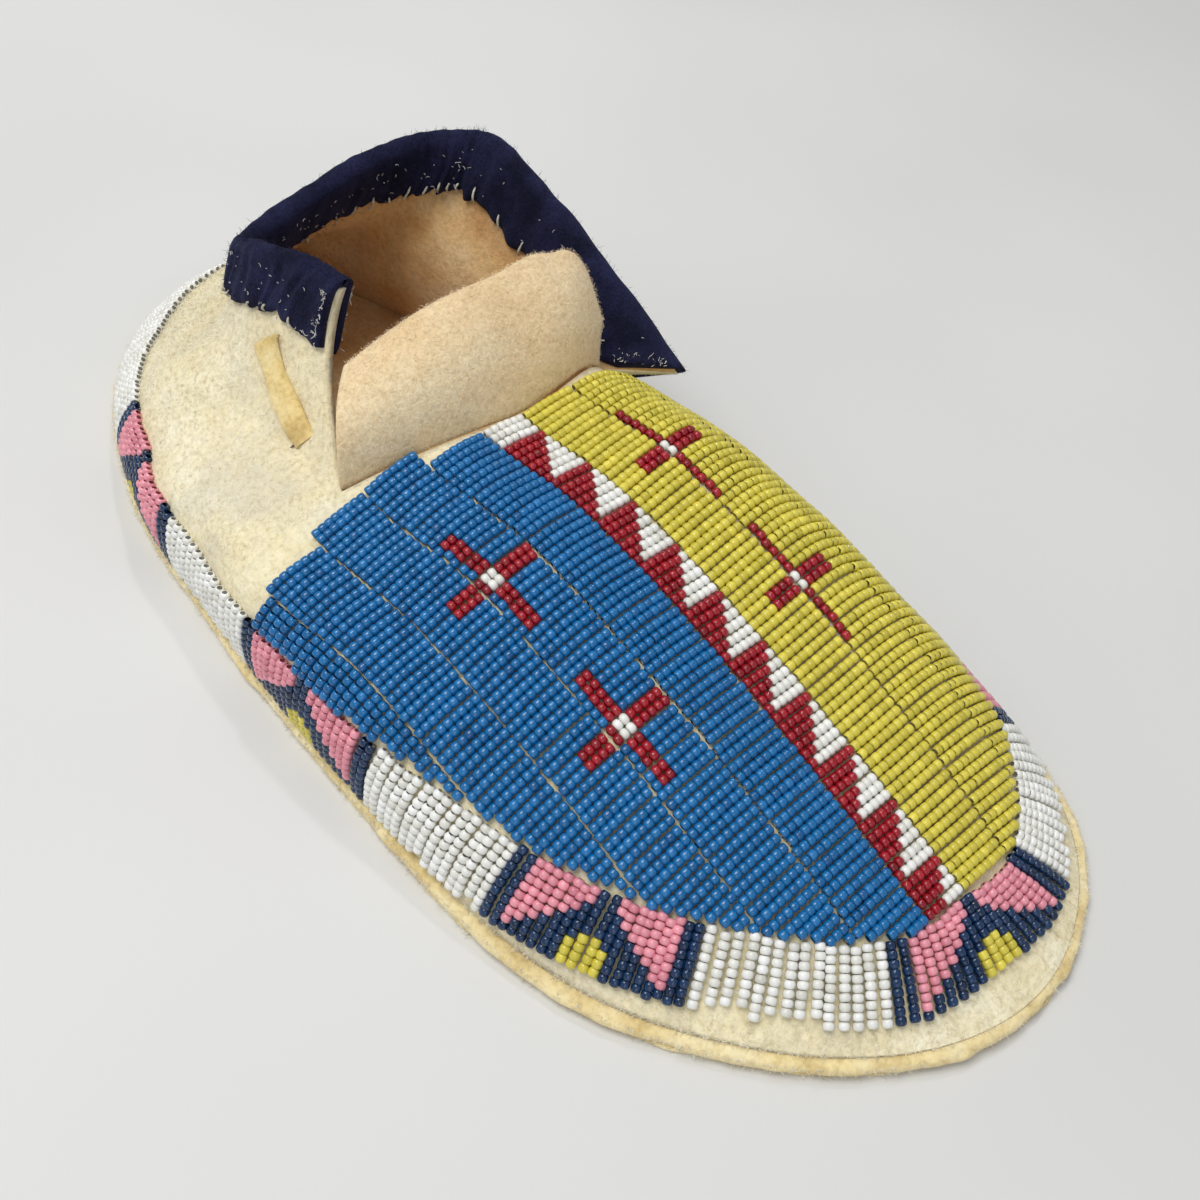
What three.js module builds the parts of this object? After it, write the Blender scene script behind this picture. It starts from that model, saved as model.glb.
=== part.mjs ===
// Beaded hide moccasin, right foot, standing empty on its sole.
// Millimetres, +Z up, +X from heel to toe, +Y towards the inner (medial) side of the foot.
import * as THREE from 'three';

// ---------------------------------------------------------------- named sizes
const LENGTH = 262;          // sole, heel to toe
const SOLE_T = 3.2;          // rawhide sole
const SOLE_BEVEL = 0.7;      // worn edge of the sole, top and bottom
const GAP = 0.3;             // clearance between pieces that touch
const WALL = 1.8;            // hide of the upper
const UPPER_INSET = 2.0;     // the upper stands this far in from the sole's edge
const TONGUE_T = 1.5;        // hide of the tongue
const BIND_W = 13;           // wool binding, width of each face
const BIND_T = 1.0;          // wool binding, thickness of one layer
const THROAT_X = 112.5;      // where the free front edges of the quarters start
const THROAT_LAT = -0.56;    // throat corners, as a share of the half section
const THROAT_MED = 0.74;
const LACE_W = 5.2, LACE_T = 1.5, LACE_LIFT = 0.7;

const EDGE_Z = SOLE_T + GAP; // lower edge of the upper
const rows = (names, data) => data.map((r) => Object.fromEntries(names.map((n, i) => [n, r[i]])));

// Sole edge at equal steps of the heel-to-toe angle (x = LENGTH/2 (1 - cos pi t)), y of each side.
const OUTLINE = rows(['lat', 'med'], [
  [-16.7, 9.5], [-31.4, 18.7], [-43.7, 26.5], [-52.9, 32.5], [-58.7, 37.5], [-60.2, 42.0], [-60.9, 46.0],
  [-60.3, 49.5], [-58.9, 52.5], [-52.3, 54.5], [-39.3, 52.0], [-23.6, 42.0], [-6.3, 27.0]]);
const HEEL_ROUND = 59.5, HEEL_Y = -1, TOE_ROUND = 71, TOE_Y = 10.9;

// Vamp sections: height and place of the centre line, how full each side is, the swell of the inner side,
// and the bulge of the outer side low down, just above the sole.
const SECTIONS = rows(['x', 'ridgeY', 'ridgeZ', 'fullLat', 'fullMed', 'swell', 'bulge'], [
  [60.0, -4.0, 41.0, 2.50, 3.2, 0, 9], [90.0, -2.6, 40.5, 2.50, 3.6, 2, 9], [118.8, -0.9, 39.2, 2.45, 4.0, 5, 9],
  [151.1, 0.8, 37.4, 2.40, 4.2, 8, 7], [183.4, 2.5, 30.8, 2.25, 4.0, 8, 2.5], [215.7, 4.2, 20.6, 2.10, 3.2, 5.5, 0],
  [246.5, 6.4, 9.2, 2.00, 2.0, 1, 0], [260.0, 10.9, EDGE_Z, 2.00, 2.0, 0, 0]]);

// Throat line: x of the vamp's rear edge against the share of the half section.
const THROAT = rows(['share', 'x'], [
  [THROAT_LAT, THROAT_X], [-0.30, 117.0], [0.0, 119.5], [0.40, 118.0], [THROAT_MED, THROAT_X]]);

// Quarters round the heel: station (outline parameter, minus on the outer side), top edge, and the
// wall's angle from the floor at the sole and at the top (over 90 leans outward).
const T_FRONT = Math.acos(1 - 2 * (THROAT_X - UPPER_INSET) / (LENGTH - 2 * UPPER_INSET)) / Math.PI;
const QUARTER = rows(['station', 'topX', 'topY', 'topZ', 'base', 'lean'], [
  [-T_FRONT, 90, -19.5, 58.5, 92, 95], [-0.37, 79, -21, 58, 95, 95], [-0.27, 64, -23, 53.5, 84, 90],
  [-0.16, 52, -19, 47.5, 52, 80], [0, 43, 13, 51.5, 46, 72], [0.16, 48.5, 34.5, 55, 55, 92],
  [0.27, 61, 40.5, 56.5, 66, 105], [0.37, 91, 41, 48.5, 70, 105], [T_FRONT, 124, 41, 36, 72, 100]]);
const FRONT_BOW = { lat: [-8, 2.5, 0], med: [0, 0, 0] };   // how far each free front edge bows off a straight line
const HEEL_CENTRE = [58, -8];   // the rear walls lean towards this point
const BLEND = 0.16;             // share of the outline over which vamp becomes quarter

// Tongue: free top edge from the outer to the inner side.
const TONGUE_TOP = rows(['across', 'x', 'y', 'z'], [
  [0.0, 97, -21.2, 50], [0.25, 101.5, -9.5, 58.5], [0.5, 103, 6, 62], [0.75, 102, 20.5, 62], [0.93, 103, 31.5, 53], [1.0, 107, 34.3, 39]]);
const TONGUE_BELLY = [-2, 0, 16];   // how the sheet rises from its seam before it leans back

// Tie thong: visible runs outside the quarters, from and to, in station and share of the wall's height.
const LACES = rows(['name', 'q0', 'v0', 'q1', 'v1'], [
  ['lace_lateral', -0.380, 0.70, -0.424, 0.53],
  ['lace_medial_front', 0.382, 0.66, 0.366, 0.36],
  ['lace_medial_rear', 0.285, 0.72, 0.262, 0.44]]);

// ---------------------------------------------------------------- small tools
const clamp = (x, a, b) => Math.min(b, Math.max(a, x));
const smooth = (x) => { const t = clamp(x, 0, 1); return t * t * (3 - 2 * t); };
const add = (a, b, k = 1) => a.map((x, i) => x + k * b[i]);
const sub = (a, b) => a.map((x, i) => x - b[i]);
const mix = (a, b, k) => a.map((x, i) => x + k * (b[i] - x));
const len = (a) => Math.hypot(...a);
const unit = (a) => { const l = len(a) || 1; return a.map((x) => x / l); };
const cross = (a, b) => [a[1] * b[2] - a[2] * b[1], a[2] * b[0] - a[0] * b[2], a[0] * b[1] - a[1] * b[0]];

// Smooth curve through the rows of a table, one value per named column.
function curve(table, key, cols) {
  const xs = table.map((r) => r[key]), ys = table.map((r) => cols.map((c) => r[c])), n = xs.length;
  const h = xs.slice(1).map((x, i) => x - xs[i]);
  const d = h.map((hi, i) => ys[i].map((_, c) => (ys[i + 1][c] - ys[i][c]) / hi));
  const m = ys.map((y, i) => y.map((_, c) => (i === 0 || i === n - 1 ? 0
    : (d[i - 1][c] * h[i] + d[i][c] * h[i - 1]) / (h[i] + h[i - 1]))));
  m[0] = m[0].map((_, c) => 1.5 * d[0][c] - 0.5 * m[1][c]);
  m[n - 1] = m[n - 1].map((_, c) => 1.5 * d[n - 2][c] - 0.5 * m[n - 2][c]);
  return (x) => {
    let i = 0;
    while (i < n - 2 && x > xs[i + 1]) i += 1;
    const t = (x - xs[i]) / h[i], t2 = t * t, t3 = t2 * t;
    return cols.map((_, c) => (2 * t3 - 3 * t2 + 1) * ys[i][c] + (t3 - 2 * t2 + t) * h[i] * m[i][c]
      + (3 * t2 - 2 * t3) * ys[i + 1][c] + (t3 - t2) * h[i] * m[i + 1][c]);
  };
}

// ---------------------------------------------------------------- the last
const N_OUT = OUTLINE.length + 1;
const edgeRows = [{ t: 0, half: HEEL_ROUND, mid: HEEL_Y },
  ...OUTLINE.map((r, i) => ({ t: (i + 1) / N_OUT, half: (r.med - r.lat) / 2 / Math.sin(Math.PI * (i + 1) / N_OUT), mid: (r.med + r.lat) / 2 })),
  { t: 1, half: TOE_ROUND, mid: TOE_Y }];
const edgeCurve = curve(edgeRows, 't', ['half', 'mid']);
// Point of the sole's edge at t, moved in by `inset`; side -1 outer, +1 inner.
function edge(t, side, inset = 0) {
  const [half, mid] = edgeCurve(t);
  const w = Math.sin(Math.PI * t) * half * (1 - inset / 52);
  return [inset + (LENGTH - 2 * inset) / 2 * (1 - Math.cos(Math.PI * t)), mid + side * w];
}
const tOfX = (x, inset) => Math.acos(clamp(1 - 2 * (x - inset) / (LENGTH - 2 * inset), -1, 1)) / Math.PI;
const sectionCurve = curve(SECTIONS, 'x', ['ridgeY', 'ridgeZ', 'fullLat', 'fullMed', 'swell', 'bulge']);
// Extra height of a section at share a: the inner swell peaks at two thirds of the way out, the outer bulge near the edge.
const fuller = (a, side, swell, bulge) => (side > 0 ? swell * 6.75 * a * a * (1 - a) : bulge * 23.1 * a ** 8 * (1 - a));
// How far the outer wall is pushed out at the same time, so that it stands upright over the sole's edge.
const pushed = (a, side, bulge) => (side > 0 ? 0 : -bulge * 8.83 * a ** 6 * (1 - a));

// Outer face of the vamp: x along the foot, share -1 at the outer edge, 0 on the centre line, +1 at the inner edge.
function vamp(x, share) {
  const side = share < 0 ? -1 : 1, a = Math.abs(share);
  const [ry, rz, pl, pm, swell, bulge] = sectionCurve(x);
  const ye = edge(tOfX(x, UPPER_INSET), side, UPPER_INSET)[1];
  const z = EDGE_Z + (rz - EDGE_Z) * (1 - a ** (side < 0 ? pl : pm)) + fuller(a, side, swell, bulge);
  return [x, ry + (ye - ry) * a + pushed(a, side, bulge), z];
}
// Inner face: the same section one wall thickness in, so that its foot still stands on the sole.
const TOE_X = LENGTH - UPPER_INSET, TOE_WALL = 4.6;
function vampIn(x, share, rear) {
  const xi = rear + (x - rear) * (TOE_X - TOE_WALL - rear) / (TOE_X - rear);
  const side = share < 0 ? -1 : 1, a = Math.abs(share);
  const [ry, rz, pl, pm, swell, bulge] = sectionCurve(x);
  const near = clamp((x - rear) / (TOE_X - rear), 0, 1);
  const ye = edge(tOfX(x, UPPER_INSET), side, UPPER_INSET)[1], half = Math.abs(ye - ry);
  const p = side < 0 ? pl : pm, h = rz - EDGE_Z;
  const slope = p * h / Math.max(half, 1) + (side > 0 ? swell * 6.75 : bulge * 23.1) / Math.max(half, 1);
  const foot = Math.min(WALL * Math.hypot(1, 1 / Math.max(slope, 0.3)), 5, half * 0.4);
  const drop = Math.min(WALL * 1.03 + 0.5 * near * near, 0.75 * h);
  const z = EDGE_Z + (h - drop) * (1 - a ** p) + fuller(a, side, swell, bulge) * (1 - drop / (h + 1));
  return [xi, ry + side * (half - foot) * a + pushed(a, side, bulge), z];
}

const throatCurve = curve(THROAT, 'share', ['x']);
const rearX = (share) => (share <= THROAT_LAT || share >= THROAT_MED ? THROAT_X : throatCurve(share)[0]);
const throat = (a) => { const s = THROAT_LAT + (THROAT_MED - THROAT_LAT) * a; return vamp(rearX(s), s); };

const quarterCurve = curve(QUARTER, 'station', ['topX', 'topY', 'topZ', 'base', 'lean']);
const KNEE = 0.5;   // share of the wall's height that follows the vamp at the front
// Outer face of the quarters: q round the heel, v from the sole's edge to the top.
function quarter(q, v) {
  const side = q < 0 ? -1 : 1, t = Math.abs(q), [x, y] = edge(t, side, UPPER_INSET);
  const [tx, ty, tz, base, lean] = quarterCurve(q), foot = [x, y, EDGE_Z], top = [tx, ty, tz];
  const e = unit([Math.max(HEEL_CENTRE[0], x) - x, HEEL_CENTRE[1] - y]);
  const reach = 0.38 * len(sub(top, foot)), rad = Math.PI / 180;
  const c1 = add(foot, [e[0] * Math.cos(base * rad), e[1] * Math.cos(base * rad), Math.sin(base * rad)], reach);
  const c2 = add(top, [e[0] * Math.cos(lean * rad), e[1] * Math.cos(lean * rad), Math.sin(lean * rad)], -reach);
  const u = 1 - v;
  const wall = [0, 1, 2].map((i) => u ** 3 * foot[i] + 3 * u * u * v * c1[i] + 3 * u * v * v * c2[i] + v ** 3 * top[i]);
  const corner = side < 0 ? THROAT_LAT : THROAT_MED;
  const front = v <= KNEE ? vamp(x, side * (1 - (1 - Math.abs(corner)) * v / KNEE))
    : add(mix(vamp(x, corner), top, (v - KNEE) / (1 - KNEE)), side < 0 ? FRONT_BOW.lat : FRONT_BOW.med,
      4 * (v - KNEE) * (1 - v) / (1 - KNEE) ** 2);
  return mix(front, wall, smooth((T_FRONT - t) / BLEND));
}
function quarterNormal(q, v) {
  const dq = 0.004, dv = 0.02;
  const a = quarter(clamp(q - dq, -T_FRONT, T_FRONT), v), b = quarter(clamp(q + dq, -T_FRONT, T_FRONT), v);
  const c = quarter(q, clamp(v - dv, 0, 1)), d = quarter(q, clamp(v + dv, 0, 1));
  return unit(cross(sub(d, c), sub(b, a)));
}

function tongue(a, b) {
  const base = add(throat(0.025 + 0.935 * a), [-(GAP + 0.4), 0, -0.2]);
  const top = tongueCurve(a), belly = add(base, TONGUE_BELLY), u = 1 - b;
  return [0, 1, 2].map((i) => u * u * base[i] + 2 * u * b * belly[i] + b * b * top[i]);
}
const tongueCurve = curve(TONGUE_TOP, 'across', ['x', 'y', 'z']);

// ---------------------------------------------------------------- solids
// A sheet given by its two faces (same numbering) becomes one closed solid.
function sheet(outer, inner, faces) {
  const n = outer.length, tris = [], once = new Map();
  for (const f of faces) {
    tris.push(f, [f[0] + n, f[2] + n, f[1] + n]);
    for (let i = 0; i < 3; i += 1) {
      const a = f[i], b = f[(i + 1) % 3];
      if (once.has(`${b},${a}`)) once.delete(`${b},${a}`); else once.set(`${a},${b}`, [a, b]);
    }
  }
  for (const [a, b] of once.values()) tris.push([b, a, a + n], [b, a + n, b + n]);
  return { verts: outer.concat(inner), tris };
}
const quad = (a, b, c, d) => [[a, b, c], [a, c, d]];
// Closed strip of equal sections with flat ends.
function sweep(sections) {
  const m = sections[0].length, tris = [];
  for (let s = 0; s < sections.length - 1; s += 1) {
    for (let i = 0; i < m; i += 1) {
      const j = (i + 1) % m;
      tris.push(...quad(s * m + i, s * m + j, (s + 1) * m + j, (s + 1) * m + i));
    }
  }
  return { verts: sections.flat(), tris, m };
}

function soleSolid() {
  const N = 64, rings = [[0, SOLE_BEVEL], [SOLE_BEVEL, 0], [SOLE_T - SOLE_BEVEL, 0], [SOLE_T, SOLE_BEVEL]];
  const ts = Array.from({ length: N + 1 }, (_, i) => i / N), loop = 2 * N, verts = [], tris = [];
  for (const [z, inset] of rings) {
    for (let i = 0; i < N; i += 1) verts.push([...edge(ts[i], -1, inset), z]);
    for (let i = N; i > 0; i -= 1) verts.push([...edge(ts[i], 1, inset), z]);
  }
  for (let r = 0; r < rings.length - 1; r += 1) {
    for (let i = 0; i < loop; i += 1) {
      const j = (i + 1) % loop;
      tris.push(...quad(r * loop + i, r * loop + j, (r + 1) * loop + j, (r + 1) * loop + i));
    }
  }
  const lat = (r, i) => r * loop + i, med = (r, i) => r * loop + ((loop - i) % loop), last = rings.length - 1;
  for (let i = 0; i < N; i += 1) {
    for (const [r, flip] of [[0, true], [last, false]]) {
      const a = lat(r, i), b = lat(r, i + 1), c = med(r, i + 1), d = med(r, i);
      const cap = (a === d ? [[a, b, c]] : b === c ? [[a, b, d]] : quad(a, b, c, d));
      tris.push(...(flip ? cap.map(([p, q, s]) => [p, s, q]) : cap));
    }
  }
  return { verts, tris };
}

function upperSolid() {
  const K = 6, NV = 12, NS = 60, NR = 30, MID = [7, 10];   // columns to the knee, up the wall, stations, rows, across the vamp
  const shares = [];
  for (let i = 0; i < K; i += 1) shares.push(-1 + (1 + THROAT_LAT) * i / K);
  for (let i = 0; i < MID[0]; i += 1) shares.push(THROAT_LAT * (1 - i / MID[0]));
  for (let i = 0; i < MID[1]; i += 1) shares.push(THROAT_MED * i / MID[1]);
  for (let i = 0; i <= K; i += 1) shares.push(THROAT_MED + (1 - THROAT_MED) * i / K);
  const NC = shares.length - 1, outer = [], inner = [], faces = [], at = [];
  for (let i = 0; i < NR; i += 1) {
    at.push([]);
    for (let j = 0; j <= NC; j += 1) {
      const rear = rearX(shares[j]), t0 = tOfX(rear, UPPER_INSET), t = t0 + (1 - t0) * i / NR;
      const x = edge(t, 1, UPPER_INSET)[0];
      at[i].push(outer.length);
      outer.push(vamp(x, shares[j]));
      inner.push(vampIn(x, shares[j], rear));
    }
  }
  const tip = outer.length;
  outer.push([TOE_X, TOE_Y, EDGE_Z]);
  inner.push([TOE_X - TOE_WALL, TOE_Y - 0.4, EDGE_Z]);
  for (let i = 0; i < NR; i += 1) {
    for (let j = 0; j < NC; j += 1) {
      if (i < NR - 1) faces.push(...quad(at[i][j], at[i + 1][j], at[i + 1][j + 1], at[i][j + 1]));
      else faces.push([at[i][j], tip, at[i][j + 1]]);
    }
  }
  const wall = [];
  for (let s = 0; s <= NS; s += 1) {
    wall.push([]);
    const q = -T_FRONT + 2 * T_FRONT * s / NS;
    for (let c = 0; c <= NV; c += 1) {
      if (s === 0 && c <= K) { wall[s].push(at[0][c]); continue; }
      if (s === NS && c <= K) { wall[s].push(at[0][NC - c]); continue; }
      const v = c / NV, p = quarter(q, v), n = quarterNormal(q, v);
      wall[s].push(outer.length);
      outer.push(p);
      const flat = unit([n[0], n[1]]), steep = Math.max(0.5, Math.hypot(n[0], n[1]));
      inner.push(c === 0 ? [p[0] - flat[0] * WALL / steep, p[1] - flat[1] * WALL / steep, EDGE_Z] : add(p, n, -WALL));
    }
  }
  for (let s = 0; s < NS; s += 1) {
    for (let c = 0; c < NV; c += 1) faces.push(...quad(wall[s][c], wall[s][c + 1], wall[s + 1][c + 1], wall[s + 1][c]));
  }
  return sheet(outer, inner, faces);
}

function tongueSolid() {
  const NA = 22, NB = 9, outer = [], inner = [], faces = [];
  for (let i = 0; i <= NA; i += 1) {
    for (let j = 0; j <= NB; j += 1) {
      const a = i / NA, b = j / NB, d = 0.01, p = tongue(a, b);
      const n = unit(cross(sub(tongue(clamp(a + d, 0, 1), b), tongue(clamp(a - d, 0, 1), b)),
        sub(tongue(a, clamp(b + d, 0, 1)), tongue(a, clamp(b - d, 0, 1)))));
      outer.push(p);
      inner.push(add(p, n, -TONGUE_T));
    }
  }
  const id = (i, j) => i * (NB + 1) + j;
  for (let i = 0; i < NA; i += 1) {
    for (let j = 0; j < NB; j += 1) faces.push(...quad(id(i, j), id(i + 1, j), id(i + 1, j + 1), id(i, j + 1)));
  }
  return sheet(outer, inner, faces);
}

// Point of the quarter's outer face `down` millimetres below the top edge, with its normal.
function below(q, down) {
  let v = 1, p = quarter(q, 1), left = down;
  while (left > 1e-9 && v > 0) {
    const step = 0.02, w = v - step, b = quarter(q, w), l = len(sub(p, b));
    if (l >= left) { v -= step * left / l; p = quarter(q, v); break; }
    left -= l; v = w; p = b;
  }
  return { p, n: quarterNormal(q, v) };
}
function bindingSolid() {
  const NS = 46, ND = 4, end = T_FRONT - 0.002, sections = [];
  for (let s = 0; s <= NS; s += 1) {
    const q = -end + 2 * end * s / NS, levels = [];
    for (let i = 0; i <= ND; i += 1) levels.push(below(q, 0.4 + BIND_W * i / ND));
    const top = quarter(q, 1), up = unit(sub(top, below(q, 3).p)), n = levels[0].n;
    const face = (k) => levels.map((l) => add(l.p, l.n, k));
    const crest = (k, rise) => add(add(top, n, k), up, rise);
    const out1 = GAP + BIND_T, in0 = -(WALL + GAP), in1 = in0 - BIND_T;
    sections.push([...face(out1).reverse(), crest(out1 * 0.4, GAP + BIND_T), crest(-WALL - out1 * 0.4, GAP + BIND_T),
      ...face(in1), ...face(in0).reverse(), crest(-WALL, GAP), crest(0, GAP), ...face(GAP)]);
  }
  const { verts, tris, m } = sweep(sections);
  // The cut ends are closed between the outer and inner line of the folded strip.
  const last = (sections.length - 1) * m, half = m / 2;
  for (let i = 0; i < half - 1; i += 1) {
    const a = i, b = i + 1, c = m - 2 - i, d = m - 1 - i;
    tris.push(...quad(a, d, c, b), ...quad(last + a, last + b, last + c, last + d));
  }
  return { verts, tris };
}

function laceSolid({ q0, v0, q1, v1 }) {
  const N = 8, sections = [];
  for (let i = 0; i <= N; i += 1) {
    const at = (k) => quarter(q0 + (q1 - q0) * k, v0 + (v1 - v0) * k), k = i / N, p = at(k);
    const n = quarterNormal(q0 + (q1 - q0) * k, v0 + (v1 - v0) * k);
    const along = unit(sub(at(k + 0.03), at(k - 0.03))), side = unit(cross(n, along)), w = LACE_W / 2;
    const lift = (s, h) => add(add(p, side, s), n, h);
    const low = LACE_LIFT, mid = LACE_LIFT + LACE_T * 0.7, high = LACE_LIFT + LACE_T;
    sections.push([lift(-w, low), lift(-w, mid), lift(-w * 0.6, high), lift(w * 0.6, high), lift(w, mid), lift(w, low)]);
  }
  const { verts, tris, m } = sweep(sections), last = N * m;
  for (let i = 1; i < m - 1; i += 1) tris.push([0, i + 1, i], [last, last + i, last + i + 1]);
  return { verts, tris };
}

// Mesh with its faces pointing out, whichever way the loops ran.
function mesh(name, { verts, tris }, color, roughness) {
  let volume = 0;
  for (const [a, b, c] of tris) {
    const n = cross(verts[b], verts[c]);
    volume += verts[a][0] * n[0] + verts[a][1] * n[1] + verts[a][2] * n[2];
  }
  const geometry = new THREE.BufferGeometry();
  geometry.setAttribute('position', new THREE.Float32BufferAttribute(verts.flat(), 3));
  geometry.setIndex((volume < 0 ? tris.map(([a, b, c]) => [a, c, b]) : tris).flat());
  geometry.computeVertexNormals();
  const m = new THREE.Mesh(geometry, new THREE.MeshStandardMaterial({ color, roughness, metalness: 0 }));
  m.name = name;
  return m;
}

const moccasin = new THREE.Group();
moccasin.add(mesh('sole', soleSolid(), 0xe6cf92, 0.9));
moccasin.add(mesh('upper', upperSolid(), 0xe9dfba, 0.95));
moccasin.add(mesh('tongue', tongueSolid(), 0xead3a6, 0.95));
moccasin.add(mesh('collar_binding', bindingSolid(), 0x1a1c3a, 0.95));
for (const lace of LACES) moccasin.add(mesh(lace.name, laceSolid(lace), 0xe8cf8e, 0.9));

// Origin: bottom centre of the whole shoe's box.
const box = new THREE.Box3().setFromObject(moccasin);
moccasin.position.set(-(box.min.x + box.max.x) / 2, -(box.min.y + box.max.y) / 2, -box.min.z);

export default moccasin;
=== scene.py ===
import math

import bpy
import numpy as np
from mathutils import Matrix


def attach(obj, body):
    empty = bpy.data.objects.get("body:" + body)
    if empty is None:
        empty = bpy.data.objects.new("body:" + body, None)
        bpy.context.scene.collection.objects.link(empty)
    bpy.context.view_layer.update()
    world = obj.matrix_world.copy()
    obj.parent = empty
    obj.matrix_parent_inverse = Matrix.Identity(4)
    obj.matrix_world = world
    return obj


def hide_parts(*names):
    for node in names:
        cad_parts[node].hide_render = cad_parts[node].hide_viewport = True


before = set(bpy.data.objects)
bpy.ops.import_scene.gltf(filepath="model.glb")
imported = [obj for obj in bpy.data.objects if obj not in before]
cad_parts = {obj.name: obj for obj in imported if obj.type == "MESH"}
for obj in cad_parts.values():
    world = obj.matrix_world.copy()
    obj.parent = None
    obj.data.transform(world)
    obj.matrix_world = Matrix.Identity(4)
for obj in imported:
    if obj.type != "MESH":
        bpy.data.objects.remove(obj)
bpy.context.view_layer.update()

rng = np.random.default_rng(11)

# ---------------------------------------------------------------- the last, in millimetres, as in the part's source
LENGTH, SOLE_T, SOLE_BEVEL, GAP, WALL, UPPER_INSET = 262.0, 3.2, 0.7, 0.3, 1.8, 2.0
TONGUE_T, BIND_W, BIND_T = 1.5, 13.0, 1.0
THROAT_X, THROAT_LAT, THROAT_MED = 112.5, -0.56, 0.74
LACE_W, LACE_T, LACE_LIFT = 5.2, 1.5, 0.7
EDGE_Z = SOLE_T + GAP
TOE_X, TOE_WALL = LENGTH - UPPER_INSET, 4.6
SHIFT = np.array([-131.0, 3.2109, 0.0])      # from the last's heel end to the middle of the shoe's box

OUTLINE = np.array([  # outer, inner side of the sole
    [-16.7, 9.5], [-31.4, 18.7], [-43.7, 26.5], [-52.9, 32.5], [-58.7, 37.5], [-60.2, 42.0], [-60.9, 46.0],
    [-60.3, 49.5], [-58.9, 52.5], [-52.3, 54.5], [-39.3, 52.0], [-23.6, 42.0], [-6.3, 27.0]])
HEEL_ROUND, HEEL_Y, TOE_ROUND, TOE_Y = 59.5, -1.0, 71.0, 10.9
SECTIONS = np.array([  # x, ridge y, ridge z, full outer, full inner, swell, bulge
    [60.0, -4.0, 41.0, 2.50, 3.2, 0, 9], [90.0, -2.6, 40.5, 2.50, 3.6, 2, 9], [118.8, -0.9, 39.2, 2.45, 4.0, 5, 9],
    [151.1, 0.8, 37.4, 2.40, 4.2, 8, 7], [183.4, 2.5, 30.8, 2.25, 4.0, 8, 2.5], [215.7, 4.2, 20.6, 2.10, 3.2, 5.5, 0],
    [246.5, 6.4, 9.2, 2.00, 2.0, 1, 0], [260.0, 10.9, EDGE_Z, 2.00, 2.0, 0, 0]])
THROAT = np.array([[THROAT_LAT, THROAT_X], [-0.30, 117.0], [0.0, 119.5], [0.40, 118.0], [THROAT_MED, THROAT_X]])
T_FRONT = math.acos(1 - 2 * (THROAT_X - UPPER_INSET) / (LENGTH - 2 * UPPER_INSET)) / math.pi
QUARTER = np.array([  # station, top x, y, z, angle at the sole, angle at the top
    [-T_FRONT, 90, -19.5, 58.5, 92, 95], [-0.37, 79, -21, 58, 95, 95], [-0.27, 64, -23, 53.5, 84, 90],
    [-0.16, 52, -19, 47.5, 52, 80], [0, 43, 13, 51.5, 46, 72], [0.16, 48.5, 34.5, 55, 55, 92],
    [0.27, 61, 40.5, 56.5, 66, 105], [0.37, 91, 41, 48.5, 70, 105], [T_FRONT, 124, 41, 36, 72, 100]])
BOW_LAT = np.array([-8, 2.5, 0.0])
HEEL_CENTRE, BLEND, KNEE = (58.0, -8.0), 0.16, 0.5
TONGUE_TOP = np.array([  # across, x, y, z
    [0.0, 97, -21.2, 50], [0.25, 101.5, -9.5, 58.5], [0.5, 103, 6, 62], [0.75, 102, 20.5, 62], [0.93, 103, 31.5, 53],
    [1.0, 107, 34.3, 39]])
TONGUE_BELLY = np.array([-2, 0, 16.0])
LACES = [("lace_lateral", -0.380, 0.70, -0.424, 0.53), ("lace_medial_front", 0.382, 0.66, 0.366, 0.36),
         ("lace_medial_rear", 0.285, 0.72, 0.262, 0.44)]


def curve(table):
    xs, ys, h = table[:, 0], table[:, 1:], np.diff(table[:, 0])
    d = np.diff(ys, axis=0) / h[:, None]
    m = np.zeros_like(ys)
    m[1:-1] = (d[:-1] * h[1:, None] + d[1:] * h[:-1, None]) / (h[1:] + h[:-1])[:, None]
    m[0], m[-1] = 1.5 * d[0] - 0.5 * m[1], 1.5 * d[-1] - 0.5 * m[-2]

    def at(x):
        x = np.asarray(x, float)
        i = np.searchsorted(xs[1:-1], x, side="left")
        t, hi = ((x - xs[i]) / h[i])[..., None], h[i][..., None]
        return ((2 * t**3 - 3 * t**2 + 1) * ys[i] + (t**3 - 2 * t**2 + t) * hi * m[i]
                + (3 * t**2 - 2 * t**3) * ys[i + 1] + (t**3 - t**2) * hi * m[i + 1])
    return at


def smooth(x):
    t = np.clip(x, 0, 1)
    return t * t * (3 - 2 * t)


def unit(v):
    return v / np.maximum(np.linalg.norm(v, axis=-1, keepdims=True), 1e-12)


def lengths(p):
    """Length along a row of points."""
    return np.concatenate([[0], np.cumsum(np.linalg.norm(np.diff(p, axis=0), axis=1))])


kk = np.arange(1, len(OUTLINE) + 1) / (len(OUTLINE) + 1)
edge_curve = curve(np.vstack([[0, HEEL_ROUND, HEEL_Y],
                              np.c_[kk, (OUTLINE[:, 1] - OUTLINE[:, 0]) / 2 / np.sin(np.pi * kk), OUTLINE.sum(1) / 2],
                              [1, TOE_ROUND, TOE_Y]]))
section_curve, throat_curve = curve(SECTIONS), curve(THROAT)
quarter_curve, tongue_curve = curve(QUARTER), curve(TONGUE_TOP)


def edge(t, side, inset=0.0):
    t = np.asarray(t, float)
    c = edge_curve(t)
    w = np.sin(np.pi * t) * c[..., 0] * (1 - inset / 52)
    return np.stack([inset + (LENGTH - 2 * inset) / 2 * (1 - np.cos(np.pi * t)), c[..., 1] + side * w], -1)


def t_of_x(x, inset):
    return np.arccos(np.clip(1 - 2 * (np.asarray(x, float) - inset) / (LENGTH - 2 * inset), -1, 1)) / np.pi


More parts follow.
